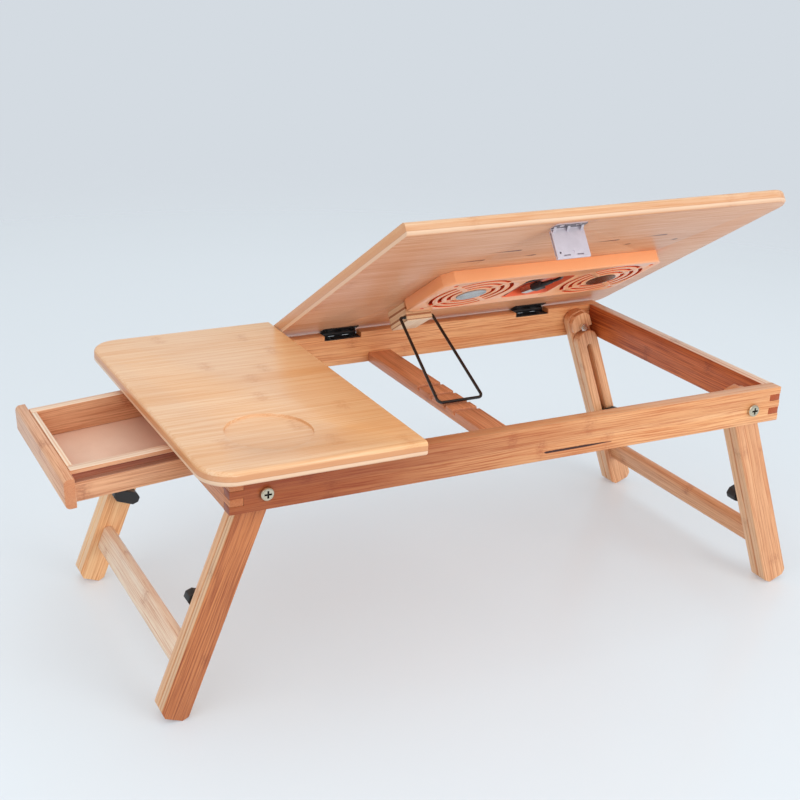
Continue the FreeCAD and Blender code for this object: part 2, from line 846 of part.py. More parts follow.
def catch_bent_sheet():
    """Leaf under the panel and plate hanging from its back edge, bent from one sheet."""
    right = catch_left + catch_width
    leaf = box(catch_left, catch_face - catch_flange, tilting_bottom - catch_sheet,
               right, catch_face + catch_sheet, tilting_bottom)
    front = catch_face - catch_flange
    leaf = leaf.makeFillet(catch_corner, edges_where(leaf, lambda b: is_upright(b) and b.YMax < front + 1e-6))
    plate = box(catch_left, catch_face, catch_z, right, catch_face + catch_sheet, tilting_bottom)
    sheet = leaf.fuse(plate).removeSplitter()
    outer = catch_face + catch_sheet
    back = edges_where(sheet, lambda b: b.XLength > 1 and b.YMin > outer - 1e-6 and b.ZMin > tilting_bottom - 1e-6)
    sheet = sheet.makeFillet(catch_bend, back)
    inner = tilting_bottom - catch_sheet
    bend = edges_where(sheet, lambda b: b.XLength > 1 and abs(b.ZMin - inner) < 1e-6 and abs(b.YMin - catch_face) < 1e-6)
    return sheet.makeFillet(catch_bend - catch_sheet / 2, bend)


def catch_gussets():
    """Pressed ribs across the inside of the bend."""
    inner = tilting_bottom - catch_sheet
    reach = catch_gusset_reach
    corner = outline_face([
        Vector(catch_left, catch_face + catch_sheet / 2, inner + catch_sheet / 2),
        Vector(catch_left, catch_face - reach, inner + catch_sheet / 2), Vector(catch_left, catch_face - reach, inner),
        Vector(catch_left, catch_face, inner - reach), Vector(catch_left, catch_face + catch_sheet / 2, inner - reach)])
    corner = corner.extrude(Vector(catch_width, 0, 0))
    ribs = []
    for f in (0.08, 0.5, 0.92):
        start = (catch_left + catch_width * f, catch_face, inner - reach)
        ribs.append(rod(catch_gusset, reach * math.sqrt(2), start, (0, -1, 1)).common(corner))
    return ribs


def fused(first, others):
    for other in others:
        first = first.fuse(other)
    return first


def catch_bracket_closed():
    bracket = catch_relief(catch_bent_sheet(), 1)
    bracket = fused(bracket, [cylinder_x(catch_knuckle, a, b, catch_y, catch_z) for a, b in catch_spans(0)])
    bracket = bracket.fuse(cylinder_x(catch_pin, catch_left, catch_left + catch_width, catch_y, catch_z))
    bracket = fused(bracket, catch_gussets())
    level = catch_z + catch_hole_in
    bracket = bracket.cut(cylinder_y(catch_hole, catch_face, catch_y, catch_left + catch_hole_in, level))
    middle = catch_left + catch_width / 2
    bracket = bracket.cut(cylinder_y(catch_dimple, catch_face, catch_face + catch_sheet / 2, middle, level))
    return bracket.cut(catch_screws(screw_clearance)).removeSplitter()


def catch_lip_closed():
    """Lip folded up behind the plate, on the pin along its lower edge."""
    back = catch_y + catch_knuckle
    top = tilting_bottom - catch_bend - catch_sheet
    lip = box(catch_left, back - catch_sheet, catch_z, catch_left + catch_width, back, top)
    spans = [(a + pin_clearance, b - pin_clearance) for a, b in catch_spans(1)]
    lip = fused(lip, [cylinder_x(catch_knuckle, a, b, catch_y, catch_z) for a, b in spans])
    lip = catch_relief(lip, 0)
    bore = catch_pin + pin_clearance
    return lip.cut(cylinder_x(bore, catch_left, catch_left + catch_width, catch_y, catch_z)).removeSplitter()


# drawer, drawn closed and level, then pulled out and let down on its pegs

def pulled_out(shape):
    drawer = shape.copy()
    drawer.translate(Vector(-drawer_open, 0, 0))
    return turned(drawer, (peg_x, 0, groove_centre), (0, 1, 0), -drawer_droop)


def drawer_start():
    return -board_stop_gap


def drawer_side_front():
    """Side with the groove that runs on the peg."""
    x0 = drawer_start()
    y0 = drawer_front_y
    side = box(x0, y0, drawer_floor, x0 + drawer_length, y0 + drawer_side, drawer_rim)
    groove_top = drawer_rim - groove_below_rim
    groove = box(x0, y0, groove_top - groove_height, x0 + drawer_length, y0 + groove_depth, groove_top)
    rebate = box(x0, y0 + drawer_side / 2, drawer_floor, x0 + drawer_length,
                 y0 + drawer_side, drawer_floor + drawer_bottom_thickness)
    return side.cut(groove).cut(rebate)


def drawer_cross(x0, x1):
    """Wall between the two sides."""
    y0 = drawer_front_y + drawer_side
    y1 = drawer_back_y - drawer_side
    return box(x0, y0, drawer_floor + drawer_bottom_thickness, x1, y1, drawer_rim)


def drawer_bottom():
    half = drawer_side / 2
    x0 = drawer_start()
    return box(x0, drawer_front_y + half, drawer_floor, x0 + drawer_length,
               drawer_back_y - half, drawer_floor + drawer_bottom_thickness)


def drawer_front_board():
    """Board that overlaps the end rail, its outer face rounded top and bottom."""
    x1 = drawer_start()
    x0 = x1 - board_thickness
    top = drawer_rim - board_below_rim
    y0 = drawer_front_y - board_overhang
    y1 = drawer_back_y + board_overhang
    board = box(x0, y0, top - board_height, x1, y1, top)

    def is_outer(b):
        return abs(b.XMin - x0) < 1e-6 and b.XLength < 1e-6 and b.ZLength < 1e-6

    return board.makeFillet(min(board_round, board_thickness * 0.49), edges_where(board, is_outer))


def drawer_peg():
    """Round peg in the end rail's end face, standing in the drawer's groove."""
    face = drawer_front_y - drawer_side_gap
    end = drawer_front_y + groove_depth - peg_end_gap
    peg = cylinder_y(peg_radius, face + leg_side_gap, end, peg_x, groove_centre)
    return peg.fuse(cylinder_y(peg_shank_radius, face - peg_shank, face + leg_side_gap, peg_x, groove_centre))


def drawer_batten():
    """Strip under the fixed panel beside the drawer; the ledge is screwed under it."""
    y1 = drawer_front_y - drawer_side_gap
    x1 = drawer_start() + drawer_length + batten_end_margin
    return box(rail_thickness, y1 - batten_width, ledge_thickness, x1, y1, panel_bottom)


def drawer_ledge():
    """Thin steel strip that carries the closed drawer."""
    y0 = drawer_front_y - drawer_side_gap - batten_width
    x1 = drawer_start() + drawer_length + batten_end_margin
    return box(rail_thickness, y0, 0, x1, y0 + ledge_width, ledge_thickness)


def drawer_mirrored(shape):
    return mirrored(shape, (0, drawer_centre, 0), (0, 1, 0))


def grouped(shapes):
    return Part.makeCompound(list(shapes))


def build():
    nodes = {
        "front_rail": long_rail(),
        "back_rail": back_rail(),
        "left_end_rail_front": end_rail_stub(),
        "right_end_rail": mirrored(end_rail(), (frame_length / 2, 0, 0), (1, 0, 0)),
        "notched_bar": notched_bar(),
        "fixed_panel": fixed_panel(),
    }
    reach = drawer_back_y + drawer_side_gap
    stub = end_rail().cut(box(0, 0, 0, rail_thickness, reach, rail_height))
    bore = peg_shank_radius + pin_clearance
    nodes["left_end_rail_back"] = stub.cut(cylinder_y(bore, reach, reach + peg_shank, peg_x, groove_centre))

    for name, x in zip(("left", "right"), hinge_centres):
        nodes["hinge_rail_leaf_" + name] = hinge_leaf(x, False).cut(leaf_screws(screw_clearance))
        closed = hinge_leaf(x, True).cut(panel_leaf_screws(screw_clearance))
        nodes["hinge_panel_leaf_" + name] = opened(closed)
        nodes["hinge_pin_" + name] = hinge_pin(x)
    nodes["hinge_rail_screws"] = leaf_screws(0)
    nodes["hinge_panel_screws"] = opened(panel_leaf_screws(0))

    nodes["tilting_panel"] = opened(tilting_panel_closed())
    nodes["prop_block"] = opened(prop_block_closed())
    nodes["wire_prop"] = wire_prop()
    nodes["fan_housing"] = opened(fan_housing_closed())
    nodes["fan_housing_screws"] = opened(housing_screws(0))
    for k, name in enumerate(("left", "right")):
        nodes["fan_motor_" + name] = opened(fan_motor_closed(k))
        nodes["fan_rotor_" + name] = opened(fan_rotor_closed(k))
    nodes["usb_lead"] = opened(tube(lead_path(), lead_radius))
    nodes["usb_plug_body"] = opened(plug_body_closed())
    nodes["usb_plug_shell"] = opened(plug_shell_closed())
    nodes["catch_bracket"] = opened(catch_bracket_closed())
    nodes["catch_screws"] = opened(catch_screws(0))
    nodes["catch_lip"] = opened(catch_lip_closed())

    legs = corner_copies(at_leg(outer_leg()))
    sliders = corner_copies(at_leg(slider_leg()))
    packers = corner_copies(at_leg(leg_packer()))
    knobs = corner_copies(at_leg(knob()))
    for corner in legs:
        nodes[corner + "_leg"] = legs[corner]
        nodes[corner + "_slider"] = sliders[corner]
        nodes[corner + "_knob"] = knobs[corner]
    for side in ("left", "right"):
        nodes[side + "_leg_packers"] = grouped([packers[side + "_front"], packers[side + "_back"]])
    bar = at_leg(stretcher())
    nodes["left_stretcher"] = bar
    nodes["right_stretcher"] = mirrored(bar, (frame_length / 2, 0, 0), (1, 0, 0))

    pivot = Vector(leg_inset, 0, leg_pivot_height)
    bolt = pivot_bolt()
    bolt.translate(pivot)
    nut = pivot_nut()
    nut.translate(pivot)
    nodes["pivot_bolts"] = grouped(corner_copies(bolt).values())
    nodes["pivot_nuts"] = grouped(corner_copies(nut).values())

    side = drawer_side_front()
    nodes["drawer_side_front"] = pulled_out(side)
    nodes["drawer_side_back"] = pulled_out(drawer_mirrored(side))
    x0 = drawer_start()
    x1 = x0 + drawer_length
    nodes["drawer_box_front"] = pulled_out(drawer_cross(x0, x0 + drawer_front_wall))
    nodes["drawer_box_back"] = pulled_out(drawer_cross(x1 - drawer_back_wall, x1))
    nodes["drawer_bottom"] = pulled_out(drawer_bottom())
    nodes["drawer_front_board"] = pulled_out(drawer_front_board())
    pegs = [drawer_peg(), drawer_mirrored(drawer_peg())]
    nodes["drawer_pegs"] = turned(grouped(pegs), (peg_x, 0, groove_centre), (0, 1, 0), -drawer_droop)
    nodes["drawer_batten_front"] = drawer_batten()
    nodes["drawer_batten_back"] = drawer_mirrored(drawer_batten())
    nodes["drawer_ledges"] = grouped([drawer_ledge(), drawer_mirrored(drawer_ledge())])
    return nodes


def origin_shift(nodes):
    """From the working frame to the origin under the middle of the opened table."""
    bounds = Part.makeCompound(list(nodes.values())).optimalBoundingBox()
    return Vector(-(bounds.XMin + bounds.XMax) / 2, -(bounds.YMin + bounds.YMax) / 2, -bounds.ZMin)


def main():
    os.makedirs("parts", exist_ok=True)
    nodes = build()
    shift = origin_shift(nodes)
    print("shift", round(shift.x, 3), round(shift.y, 3), round(shift.z, 3))
    for name, shape in nodes.items():
        placed = shape.copy()
        placed.translate(shift)
        placed.exportStep("parts/" + name + ".step")
    print(len(nodes), "nodes")


if __name__ == "__main__":
    main()
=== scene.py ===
import bpy
import bmesh
import json
import math
from mathutils import Matrix, Vector


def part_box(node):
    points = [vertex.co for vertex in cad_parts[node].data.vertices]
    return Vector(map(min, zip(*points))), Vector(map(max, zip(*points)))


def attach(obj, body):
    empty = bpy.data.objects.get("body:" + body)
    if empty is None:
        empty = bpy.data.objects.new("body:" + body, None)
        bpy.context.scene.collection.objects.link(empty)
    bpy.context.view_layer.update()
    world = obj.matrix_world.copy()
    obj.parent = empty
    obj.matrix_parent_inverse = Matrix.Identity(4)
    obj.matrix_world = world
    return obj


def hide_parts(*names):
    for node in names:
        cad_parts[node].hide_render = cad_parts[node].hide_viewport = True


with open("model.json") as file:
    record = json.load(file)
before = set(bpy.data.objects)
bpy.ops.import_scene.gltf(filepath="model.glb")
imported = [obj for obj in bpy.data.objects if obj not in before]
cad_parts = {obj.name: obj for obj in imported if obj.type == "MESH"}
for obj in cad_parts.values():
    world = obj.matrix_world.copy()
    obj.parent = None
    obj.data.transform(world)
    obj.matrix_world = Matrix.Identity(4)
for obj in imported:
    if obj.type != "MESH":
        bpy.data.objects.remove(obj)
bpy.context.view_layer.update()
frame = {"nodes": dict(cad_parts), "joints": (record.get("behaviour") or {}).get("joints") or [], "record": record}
nodes = frame["nodes"]
bodyOfNode = {n: b for b, members in frame["record"]["behaviour"]["bodies"].items() for n in members}
slotOfNode = {s["node"]: s["material_slot"] for s in frame["record"]["subparts"]}
print("frame loaded:", len(nodes), "nodes")

# Camera: angles in degrees, azimuth from +Y towards +X, elevation downwards.
view = {
    "position": (-0.59024, -1.00739, 0.65004),
    "azimuth": 23.662,
    "elevation": 17.097,
    "roll": 1.157,
    "lens": 58.98,
    "sensor": 36.0,
    "shift": (0.160, -0.130),
    "clip": (0.02, 60.0),
}


def makeCamera():
    a, e, r = (math.radians(view[k]) for k in ("azimuth", "elevation", "roll"))
    forward = Vector((math.sin(a) * math.cos(e), math.cos(a) * math.cos(e), -math.sin(e)))
    level = Vector((math.cos(a), -math.sin(a), 0))
    upright = level.cross(forward)
    right = math.cos(r) * level + math.sin(r) * upright
    up = -math.sin(r) * level + math.cos(r) * upright
    data = bpy.data.cameras.new("tableCamera")
    data.lens = view["lens"]
    data.sensor_width = view["sensor"]
    data.shift_x, data.shift_y = view["shift"]
    data.clip_start, data.clip_end = view["clip"]
    camera = bpy.data.objects.new("tableCamera", data)
    camera.matrix_world = Matrix((
        (right.x, up.x, -forward.x, view["position"][0]),
        (right.y, up.y, -forward.y, view["position"][1]),
        (right.z, up.z, -forward.z, view["position"][2]),
        (0, 0, 0, 1)))
    bpy.context.scene.collection.objects.link(camera)
    bpy.context.scene.camera = camera


makeCamera()
bpy.context.scene.view_settings.view_transform = "Standard"


# Node helpers. A group takes inputs as (name, socket kind, default) and outputs as (name, socket kind).
def newGroup(name, inputs, outputs):
    group = bpy.data.node_groups.new(name, "ShaderNodeTree")
    for label, kind, default in inputs:
        socket = group.interface.new_socket(label, in_out="INPUT", socket_type="NodeSocket" + kind)
        if default is not None:
            socket.default_value = default
    for label, kind in outputs:
        group.interface.new_socket(label, in_out="OUTPUT", socket_type="NodeSocket" + kind)
    start = group.nodes.new("NodeGroupInput")
    end = group.nodes.new("NodeGroupOutput")
    return group, start, end


def put(tree, kind, **settings):
    node = tree.nodes.new("ShaderNode" + kind)
    for key, value in settings.items():
        setattr(node, key, value)
    return node


def feed(tree, socket, value):
    if isinstance(value, bpy.types.NodeSocket):
        tree.links.new(value, socket)
    elif value is not None:
        socket.default_value = value


def calc(tree, operation, a, b=None, c=None, clamp=False):
    node = put(tree, "Math", operation=operation, use_clamp=clamp)
    for socket, value in zip(node.inputs, (a, b, c)):
        feed(tree, socket, value)
    return node.outputs[0]


def product(tree, first, *others):
    for other in others:
        first = calc(tree, "MULTIPLY", first, other)
    return first


def total(tree, first, *others):
    for other in others:
        first = calc(tree, "ADD", first, other)
    return first


# Length of the hypotenuse over two sides.
def reachOf(tree, a, b):
    return calc(tree, "SQRT", total(tree, product(tree, a, a), product(tree, b, b)))


# One between two limits, and nought outside them.
def between(tree, value, low, high):
    return product(tree, calc(tree, "GREATER_THAN", value, low), calc(tree, "LESS_THAN", value, high))


def mixColor(tree, factor, a, b, blend="MIX"):
    node = put(tree, "Mix", data_type="RGBA", blend_type=blend)
    node.clamp_factor = True
    feed(tree, node.inputs["Factor"], factor)
    feed(tree, node.inputs[6], a)
    feed(tree, node.inputs[7], b)
    return node.outputs[2]


def ramp(tree, value, low, high, toLow=0.0, toHigh=1.0):
    node = put(tree, "MapRange", clamp=True, interpolation_type="SMOOTHSTEP")
    for name, number in (("Value", value), ("From Min", low), ("From Max", high), ("To Min", toLow),
                         ("To Max", toHigh)):
        feed(tree, node.inputs[name], number)
    return node.outputs["Result"]


def bundle(tree, x, y, z):
    node = put(tree, "CombineXYZ")
    for socket, value in zip(node.inputs, (x, y, z)):
        feed(tree, socket, value)
    return node.outputs[0]


def split(tree, vector):
    node = put(tree, "SeparateXYZ")
    feed(tree, node.inputs[0], vector)
    return node.outputs


def noise(tree, vector, scale, detail, rough):
    node = put(tree, "TexNoise")
    feed(tree, node.inputs["Vector"], vector)
    feed(tree, node.inputs["Scale"], scale)
    node.inputs["Detail"].default_value = detail
    node.inputs["Roughness"].default_value = rough
    return node.outputs["Fac"]


# Colour as a picker shows it, 0 to 255.
def rgb(r, g, b):
    def linear(v):
        v = v / 255
        return v / 12.92 if v <= 0.04045 else ((v + 0.055) / 1.055) ** 2.4
    return (linear(r), linear(g), linear(b), 1.0)


# Board coordinates in metres: x along the grain, y across the strips, z through the thickness. Each noise
# has its scale along the grain and across it, then its detail and its roughness.
grain = {
    "streak": (5.5, 170.0, 3.0, 0.6),
    "fibre": (13.0, 760.0, 4.0, 0.62),
    "pore": (55.0, 1500.0, 3.0, 0.7),
    "cloud": (4.0, 30.0, 2.0, 0.5),
    "waver": (11.0, 24.0, 2.0, 0.5),
    "wander": (120.0, 190.0, 3.0, 0.62),
    "curl": (300.0, 560.0, 3.0, 0.6),
    "waverReach": 0.0042,
    "stripShift": 1.7,
    "streakTone": (0.30, 0.72, 0.08, 0.58),
    "cloudTone": (0.3, 0.7, -0.16, 0.22),
    "fibreEdge": (0.40, 0.68),
    "poreEdge": (0.54, 0.70),
    "fibreShare": 0.85,
    "poreShare": 0.35,
    "squareOn": (0.75, 0.93),       # how squarely a face looks along an axis to count as a rim or an end
    "rimLayers": (2.5, 330.0),
    "rimEdge": (0.36, 0.56, 0.35, 1.0),
    "knuckleSpacing": 0.27,
    "knuckleEdge": (0.0105, -0.0021),
    "knuckleWander": 0.016,
    "mottleEdge": (0.38, 0.60, 0.25, 1.0),
    "ringEdge": (0.0018, 0.0005),
    "ringBreaks": (0.45, 0.6),
    "ringShare": 0.5,
    "glueLine": 0.22,
    "glueEdge": (0.484, 0.499),
    "endCells": 1150.0,
    "endEdge": (0.42, 0.18),
    "endGround": 0.4,
    "endBundles": 0.45,
    "endShare": 0.8,
    "roughnessSpread": 0.25,
    "relief": {"fibre": 0.5, "pore": 0.3, "knuckle": 0.3},
}


def stretchedNoise(g, x, y, z, name):
    along, across, detail, rough = grain[name]
    vector = bundle(g, product(g, x, along), product(g, y, across), product(g, z, across))
    return noise(g, vector, 1.0, detail, rough)


def bambooGroup():
    g, start, end = newGroup("bambooBoard", [
        ("Position", "Vector", None), ("Facing", "Vector", None), ("Strip Width", "Float", 0.02),
        ("Knuckle Strength", "Float", 0.5), ("Seed", "Float", 0.0), ("Pale", "Color", None),
        ("Deep", "Color", None), ("Fibre", "Color", None), ("Knuckle", "Color", None),
        ("Strip Contrast", "Float", 0.3), ("Fibre Contrast", "Float", 0.5), ("Base Roughness", "Float", 0.38),
        ("Rim", "Color", None), ("Rim Amount", "Float", 0.0)],
        [("Color", "Color"), ("Roughness", "Float"), ("Height", "Float")])
    i = start.outputs
    x, y, z = split(g, i["Position"])
    acrossStrips = total(g, calc(g, "DIVIDE", y, i["Strip Width"]), i["Seed"])
    dice = put(g, "TexWhiteNoise", noise_dimensions="2D")
    feed(g, dice.inputs["Vector"], bundle(g, calc(g, "FLOOR", acrossStrips), i["Seed"], 0.0))
    dieColor = put(g, "SeparateColor")
    feed(g, dieColor.inputs[0], dice.outputs["Color"])
    shifted = total(g, x, product(g, dieColor.outputs[0], grain["stripShift"]))
    waver = calc(g, "SUBTRACT", stretchedNoise(g, shifted, y, z, "waver"), 0.5)
    bent = total(g, y, product(g, waver, grain["waverReach"]))
    streak = stretchedNoise(g, shifted, bent, z, "streak")
    fibre = stretchedNoise(g, shifted, bent, z, "fibre")
    pore = stretchedNoise(g, shifted, y, z, "pore")
    cloud = stretchedNoise(g, x, y, z, "cloud")
    tone = product(g, calc(g, "SUBTRACT", dice.outputs["Value"], 0.5), i["Strip Contrast"])
    tone = total(g, tone, ramp(g, streak, *grain["streakTone"]), ramp(g, cloud, *grain["cloudTone"]))
    color = mixColor(g, calc(g, "ADD", tone, 0.0, clamp=True), i["Pale"], i["Deep"])
    lines = total(g, product(g, ramp(g, fibre, *grain["fibreEdge"]), grain["fibreShare"]),
                  product(g, ramp(g, pore, *grain["poreEdge"]), grain["poreShare"]))
    color = mixColor(g, product(g, lines, i["Fibre Contrast"]), color, i["Fibre"])
    # The sawn rims show the pale layers of the cane, a few millimetres each.
    facing = split(g, i["Facing"])
    isRim = ramp(g, calc(g, "ABSOLUTE", facing[1]), *grain["squareOn"])
    along, through = grain["rimLayers"]
    layer = noise(g, bundle(g, product(g, x, along), 0.0, product(g, z, through)), 1.0, 2.0, 0.5)
    pale = product(g, isRim, ramp(g, layer, *grain["rimEdge"]), i["Rim Amount"])
    color = mixColor(g, pale, color, i["Rim"])
    # The knuckles of the cane: a soft mottled band across each strip with a fine ring in it.
    phase = calc(g, "FRACT", calc(g, "DIVIDE", shifted, grain["knuckleSpacing"]))
    away = product(g, calc(g, "ABSOLUTE", calc(g, "SUBTRACT", phase, 0.5)), grain["knuckleSpacing"])
    wander = stretchedNoise(g, x, y, z, "wander")
    reach = total(g, away, product(g, calc(g, "SUBTRACT", wander, 0.5), grain["knuckleWander"]))
    near = ramp(g, reach, *grain["knuckleEdge"])
    curl = stretchedNoise(g, x, y, z, "curl")
    mottled = product(g, near, ramp(g, curl, *grain["mottleEdge"]))
    ring = product(g, ramp(g, away, *grain["ringEdge"]), ramp(g, wander, *grain["ringBreaks"]))
    band = calc(g, "MAXIMUM", mottled, product(g, ring, grain["ringShare"]))
    band = product(g, band, i["Knuckle Strength"])
    color = mixColor(g, band, color, i["Knuckle"])
    # The glue line between strips.
    edge = calc(g, "ABSOLUTE", calc(g, "SUBTRACT", calc(g, "FRACT", acrossStrips), 0.5))
    line = ramp(g, edge, *grain["glueEdge"])
    color = mixColor(g, product(g, line, grain["glueLine"]), color, i["Fibre"])
    # End grain: dark bundles in a redder ground.
    isEnd = ramp(g, calc(g, "ABSOLUTE", facing[0]), *grain["squareOn"])
    cells = put(g, "TexVoronoi", feature="F1")
    size = grain["endCells"]
    feed(g, cells.inputs["Vector"], bundle(g, 0.0, product(g, y, size), product(g, z, size)))
    cells.inputs["Scale"].default_value = 1.0
    bundles = ramp(g, cells.outputs["Distance"], *grain["endEdge"])
    ground = mixColor(g, grain["endGround"], i["Deep"], i["Fibre"])
    cut = mixColor(g, product(g, bundles, grain["endBundles"]), ground, i["Knuckle"])
    color = mixColor(g, product(g, isEnd, grain["endShare"]), color, cut)
    feed(g, end.inputs["Color"], color)
    spread = product(g, calc(g, "SUBTRACT", fibre, 0.5), grain["roughnessSpread"])
    feed(g, end.inputs["Roughness"], total(g, i["Base Roughness"], spread))
    shares = grain["relief"]
    raised = total(g, product(g, fibre, shares["fibre"]), product(g, pore, shares["pore"]))
    sunk = total(g, line, product(g, band, shares["knuckle"]))
    feed(g, end.inputs["Height"], calc(g, "SUBTRACT", raised, sunk))
    return g


# Sides of a three-layer panel: masks of the core, the bottom layer, the joint between and the underside.
layerEdges = {"side": (0.80, 0.62), "under": (-0.5, -0.9), "blur": 0.012, "joint": (0.035, 0.008),
              "waver": (60.0, 0.05), "darkPly": (1.15, 0.85)}


def plyGroup():
    g, start, end = newGroup("plyLayers", [
        ("Position", "Vector", None), ("Facing", "Vector", None), ("Thickness", "Float", 0.0125),
        ("Bottom Share", "Float", 0.40), ("Top Share", "Float", 0.20)],
        [("Core", "Float"), ("Bottom", "Float"), ("Joint", "Float"), ("Under", "Float")])
    i = start.outputs
    x, y, z = split(g, i["Position"])
    facing = split(g, i["Facing"])
    side = ramp(g, calc(g, "ABSOLUTE", facing[2]), *layerEdges["side"])
    scale, reach = layerEdges["waver"]
    waver = noise(g, bundle(g, product(g, x, scale), product(g, y, scale), 0.0), 1.0, 2.0, 0.5)
    level = total(g, calc(g, "DIVIDE", z, i["Thickness"]), product(g, calc(g, "SUBTRACT", waver, 0.5), reach))
    blur = layerEdges["blur"]
    overBottom = ramp(g, calc(g, "SUBTRACT", level, i["Bottom Share"]), -blur, blur)
    belowTop = ramp(g, calc(g, "SUBTRACT", calc(g, "SUBTRACT", 1.0, i["Top Share"]), level), -blur, blur)
    feed(g, end.inputs["Core"], product(g, side, overBottom, belowTop))
    feed(g, end.inputs["Bottom"], product(g, side, calc(g, "SUBTRACT", 1.0, overBottom)))
    gap = calc(g, "ABSOLUTE", calc(g, "SUBTRACT", level, i["Bottom Share"]))
    feed(g, end.inputs["Joint"], product(g, side, ramp(g, gap, *layerEdges["joint"])))
    feed(g, end.inputs["Under"], ramp(g, facing[2], *layerEdges["under"]))
    return g


# Fine moulded or rolled surface: even grain, faint clouds.
surfaceLook = {"cloudEdge": (0.3, 0.7), "cloudShare": 0.7, "fineShare": 0.3, "roughnessSpread": 0.24}


def surfaceGroup():
    g, start, end = newGroup("surfaceGrain", [
        ("Position", "Vector", None), ("Grain Scale", "Float", 1800.0), ("Cloud Scale", "Float", 30.0),
        ("Color A", "Color", None), ("Color B", "Color", None), ("Base Roughness", "Float", 0.4)],
        [("Color", "Color"), ("Roughness", "Float"), ("Height", "Float")])
    i = start.outputs
    fine = noise(g, i["Position"], i["Grain Scale"], 2.0, 0.5)
    cloud = noise(g, i["Position"], i["Cloud Scale"], 4.0, 0.55)
    clouds = ramp(g, cloud, *surfaceLook["cloudEdge"])
    blend = total(g, product(g, clouds, surfaceLook["cloudShare"]),
                  product(g, fine, surfaceLook["fineShare"]))
    feed(g, end.inputs["Color"], mixColor(g, blend, i["Color A"], i["Color B"]))
    spread = product(g, calc(g, "SUBTRACT", cloud, 0.5), surfaceLook["roughnessSpread"])
    feed(g, end.inputs["Roughness"], total(g, i["Base Roughness"], spread))
    feed(g, end.inputs["Height"], fine)
    return g


# A long dark sliver of cane skin on one face of a board, thick at its start and thin at its end, with
# two mottled knuckles before it. Each spot has how far it lies ahead of the start and above the sliver.
sliverLook = {
    "facing": (0.6, 0.9),
    "roughScale": (300.0, 90.0),
    "startEdge": (-0.01, 0.03),
    "endEdge": (1.0, 0.55),
    "bodyShare": 0.9,
    "roughShare": 0.35,
    "waver": 0.0006,
    "cutoff": 0.02,
    "streakEdge": (0.0002, -0.0001),
    "haloEdge": (0.0022, 0.0),
    "mottleEdge": (0.38, 0.58, 0.25, 1.0),
    "spots": ((0.004, 0.004), (0.034, 0.016)),
    "spotSquash": 1.5,
    "spotRough": 0.006,
    "spotEdge": (0.0150, 0.0045),
}


def skinGroup():
    g, start, end = newGroup("skinStreak", [
        ("Position", "Vector", None), ("Facing", "Vector", None), ("Start", "Float", 0.0),
        ("End", "Float", 0.1), ("Height", "Float", 0.007), ("Thick", "Float", 0.0016)],
        [("Streak", "Float"), ("Halo", "Float"), ("Root", "Float")])
    i = start.outputs
    x, y, z = split(g, i["Position"])
    look = sliverLook
    outer = ramp(g, split(g, i["Facing"])[2], *look["facing"])
    share = calc(g, "DIVIDE", calc(g, "SUBTRACT", x, i["Start"]), calc(g, "SUBTRACT", i["End"], i["Start"]))
    along, across = look["roughScale"]
    rough = noise(g, bundle(g, product(g, x, along), product(g, y, across), 0.0), 1.0, 3.0, 0.6)
    inside = product(g, ramp(g, share, *look["startEdge"]), ramp(g, share, *look["endEdge"]))
    body = total(g, product(g, inside, look["bodyShare"]), product(g, rough, look["roughShare"]))
    half = product(g, i["Thick"], 0.5, body)
    middle = total(g, i["Height"], product(g, calc(g, "SUBTRACT", rough, 0.5), look["waver"]))
    off = calc(g, "ABSOLUTE", calc(g, "SUBTRACT", y, middle))
    within = calc(g, "GREATER_THAN", inside, look["cutoff"])
    beyond = calc(g, "SUBTRACT", off, half)
    feed(g, end.inputs["Streak"], product(g, outer, within, ramp(g, beyond, *look["streakEdge"])))
    feed(g, end.inputs["Halo"], product(g, outer, within, ramp(g, beyond, *look["haloEdge"])))
    curl = stretchedNoise(g, x, y, z, "curl")
    mottle = ramp(g, curl, *look["mottleEdge"])
    spots = None
    for ahead, above in look["spots"]:
        dx = product(g, calc(g, "SUBTRACT", x, calc(g, "SUBTRACT", i["Start"], ahead)), look["spotSquash"])
        dy = calc(g, "SUBTRACT", y, total(g, i["Height"], above))
        ragged = total(g, reachOf(g, dx, dy), product(g, rough, look["spotRough"]))
        spot = ramp(g, ragged, *look["spotEdge"])
        spots = spot if spots is None else calc(g, "MAXIMUM", spots, spot)
    feed(g, end.inputs["Root"], product(g, outer, spots, mottle))
    return g


# Fine cracks along the grain, each faint at its tail and dark at its head. The tail's width and the head's
# edge are shares of the radius.
crack = {"tailWidth": 0.25, "blur": 0.0002, "tailEnd": 0.2, "tailShare": 0.9, "headSquash": 0.25,
         "headEdge": (1.2, 0.6)}


def crackMask(tree, position, places, radius):
    x, y = split(tree, position)[:2]
    mask = None
    for headX, headY, length in places:
        behind = calc(tree, "SUBTRACT", headX, x)
        off = calc(tree, "ABSOLUTE", calc(tree, "SUBTRACT", y, headY))
        width = ramp(tree, behind, 0.0, length, radius, radius * crack["tailWidth"])
        tail = ramp(tree, behind, length, length * crack["tailEnd"], 0.0, crack["tailShare"])
        body = product(tree, ramp(tree, calc(tree, "SUBTRACT", off, width), crack["blur"], -crack["blur"]),
                       ramp(tree, behind, -radius, 0.0), tail)
        squashed = product(tree, behind, behind, crack["headSquash"])
        away = calc(tree, "SQRT", total(tree, squashed, product(tree, off, off)))
        head = ramp(tree, away, *(radius * share for share in crack["headEdge"]))
        spot = calc(tree, "MAXIMUM", body, head)
        mask = spot if mask is None else calc(tree, "MAXIMUM", mask, spot)
    return mask


bamboo = bambooGroup()
ply = plyGroup()
surfaceGrain = surfaceGroup()
skin = skinGroup()
print("shared effects made")


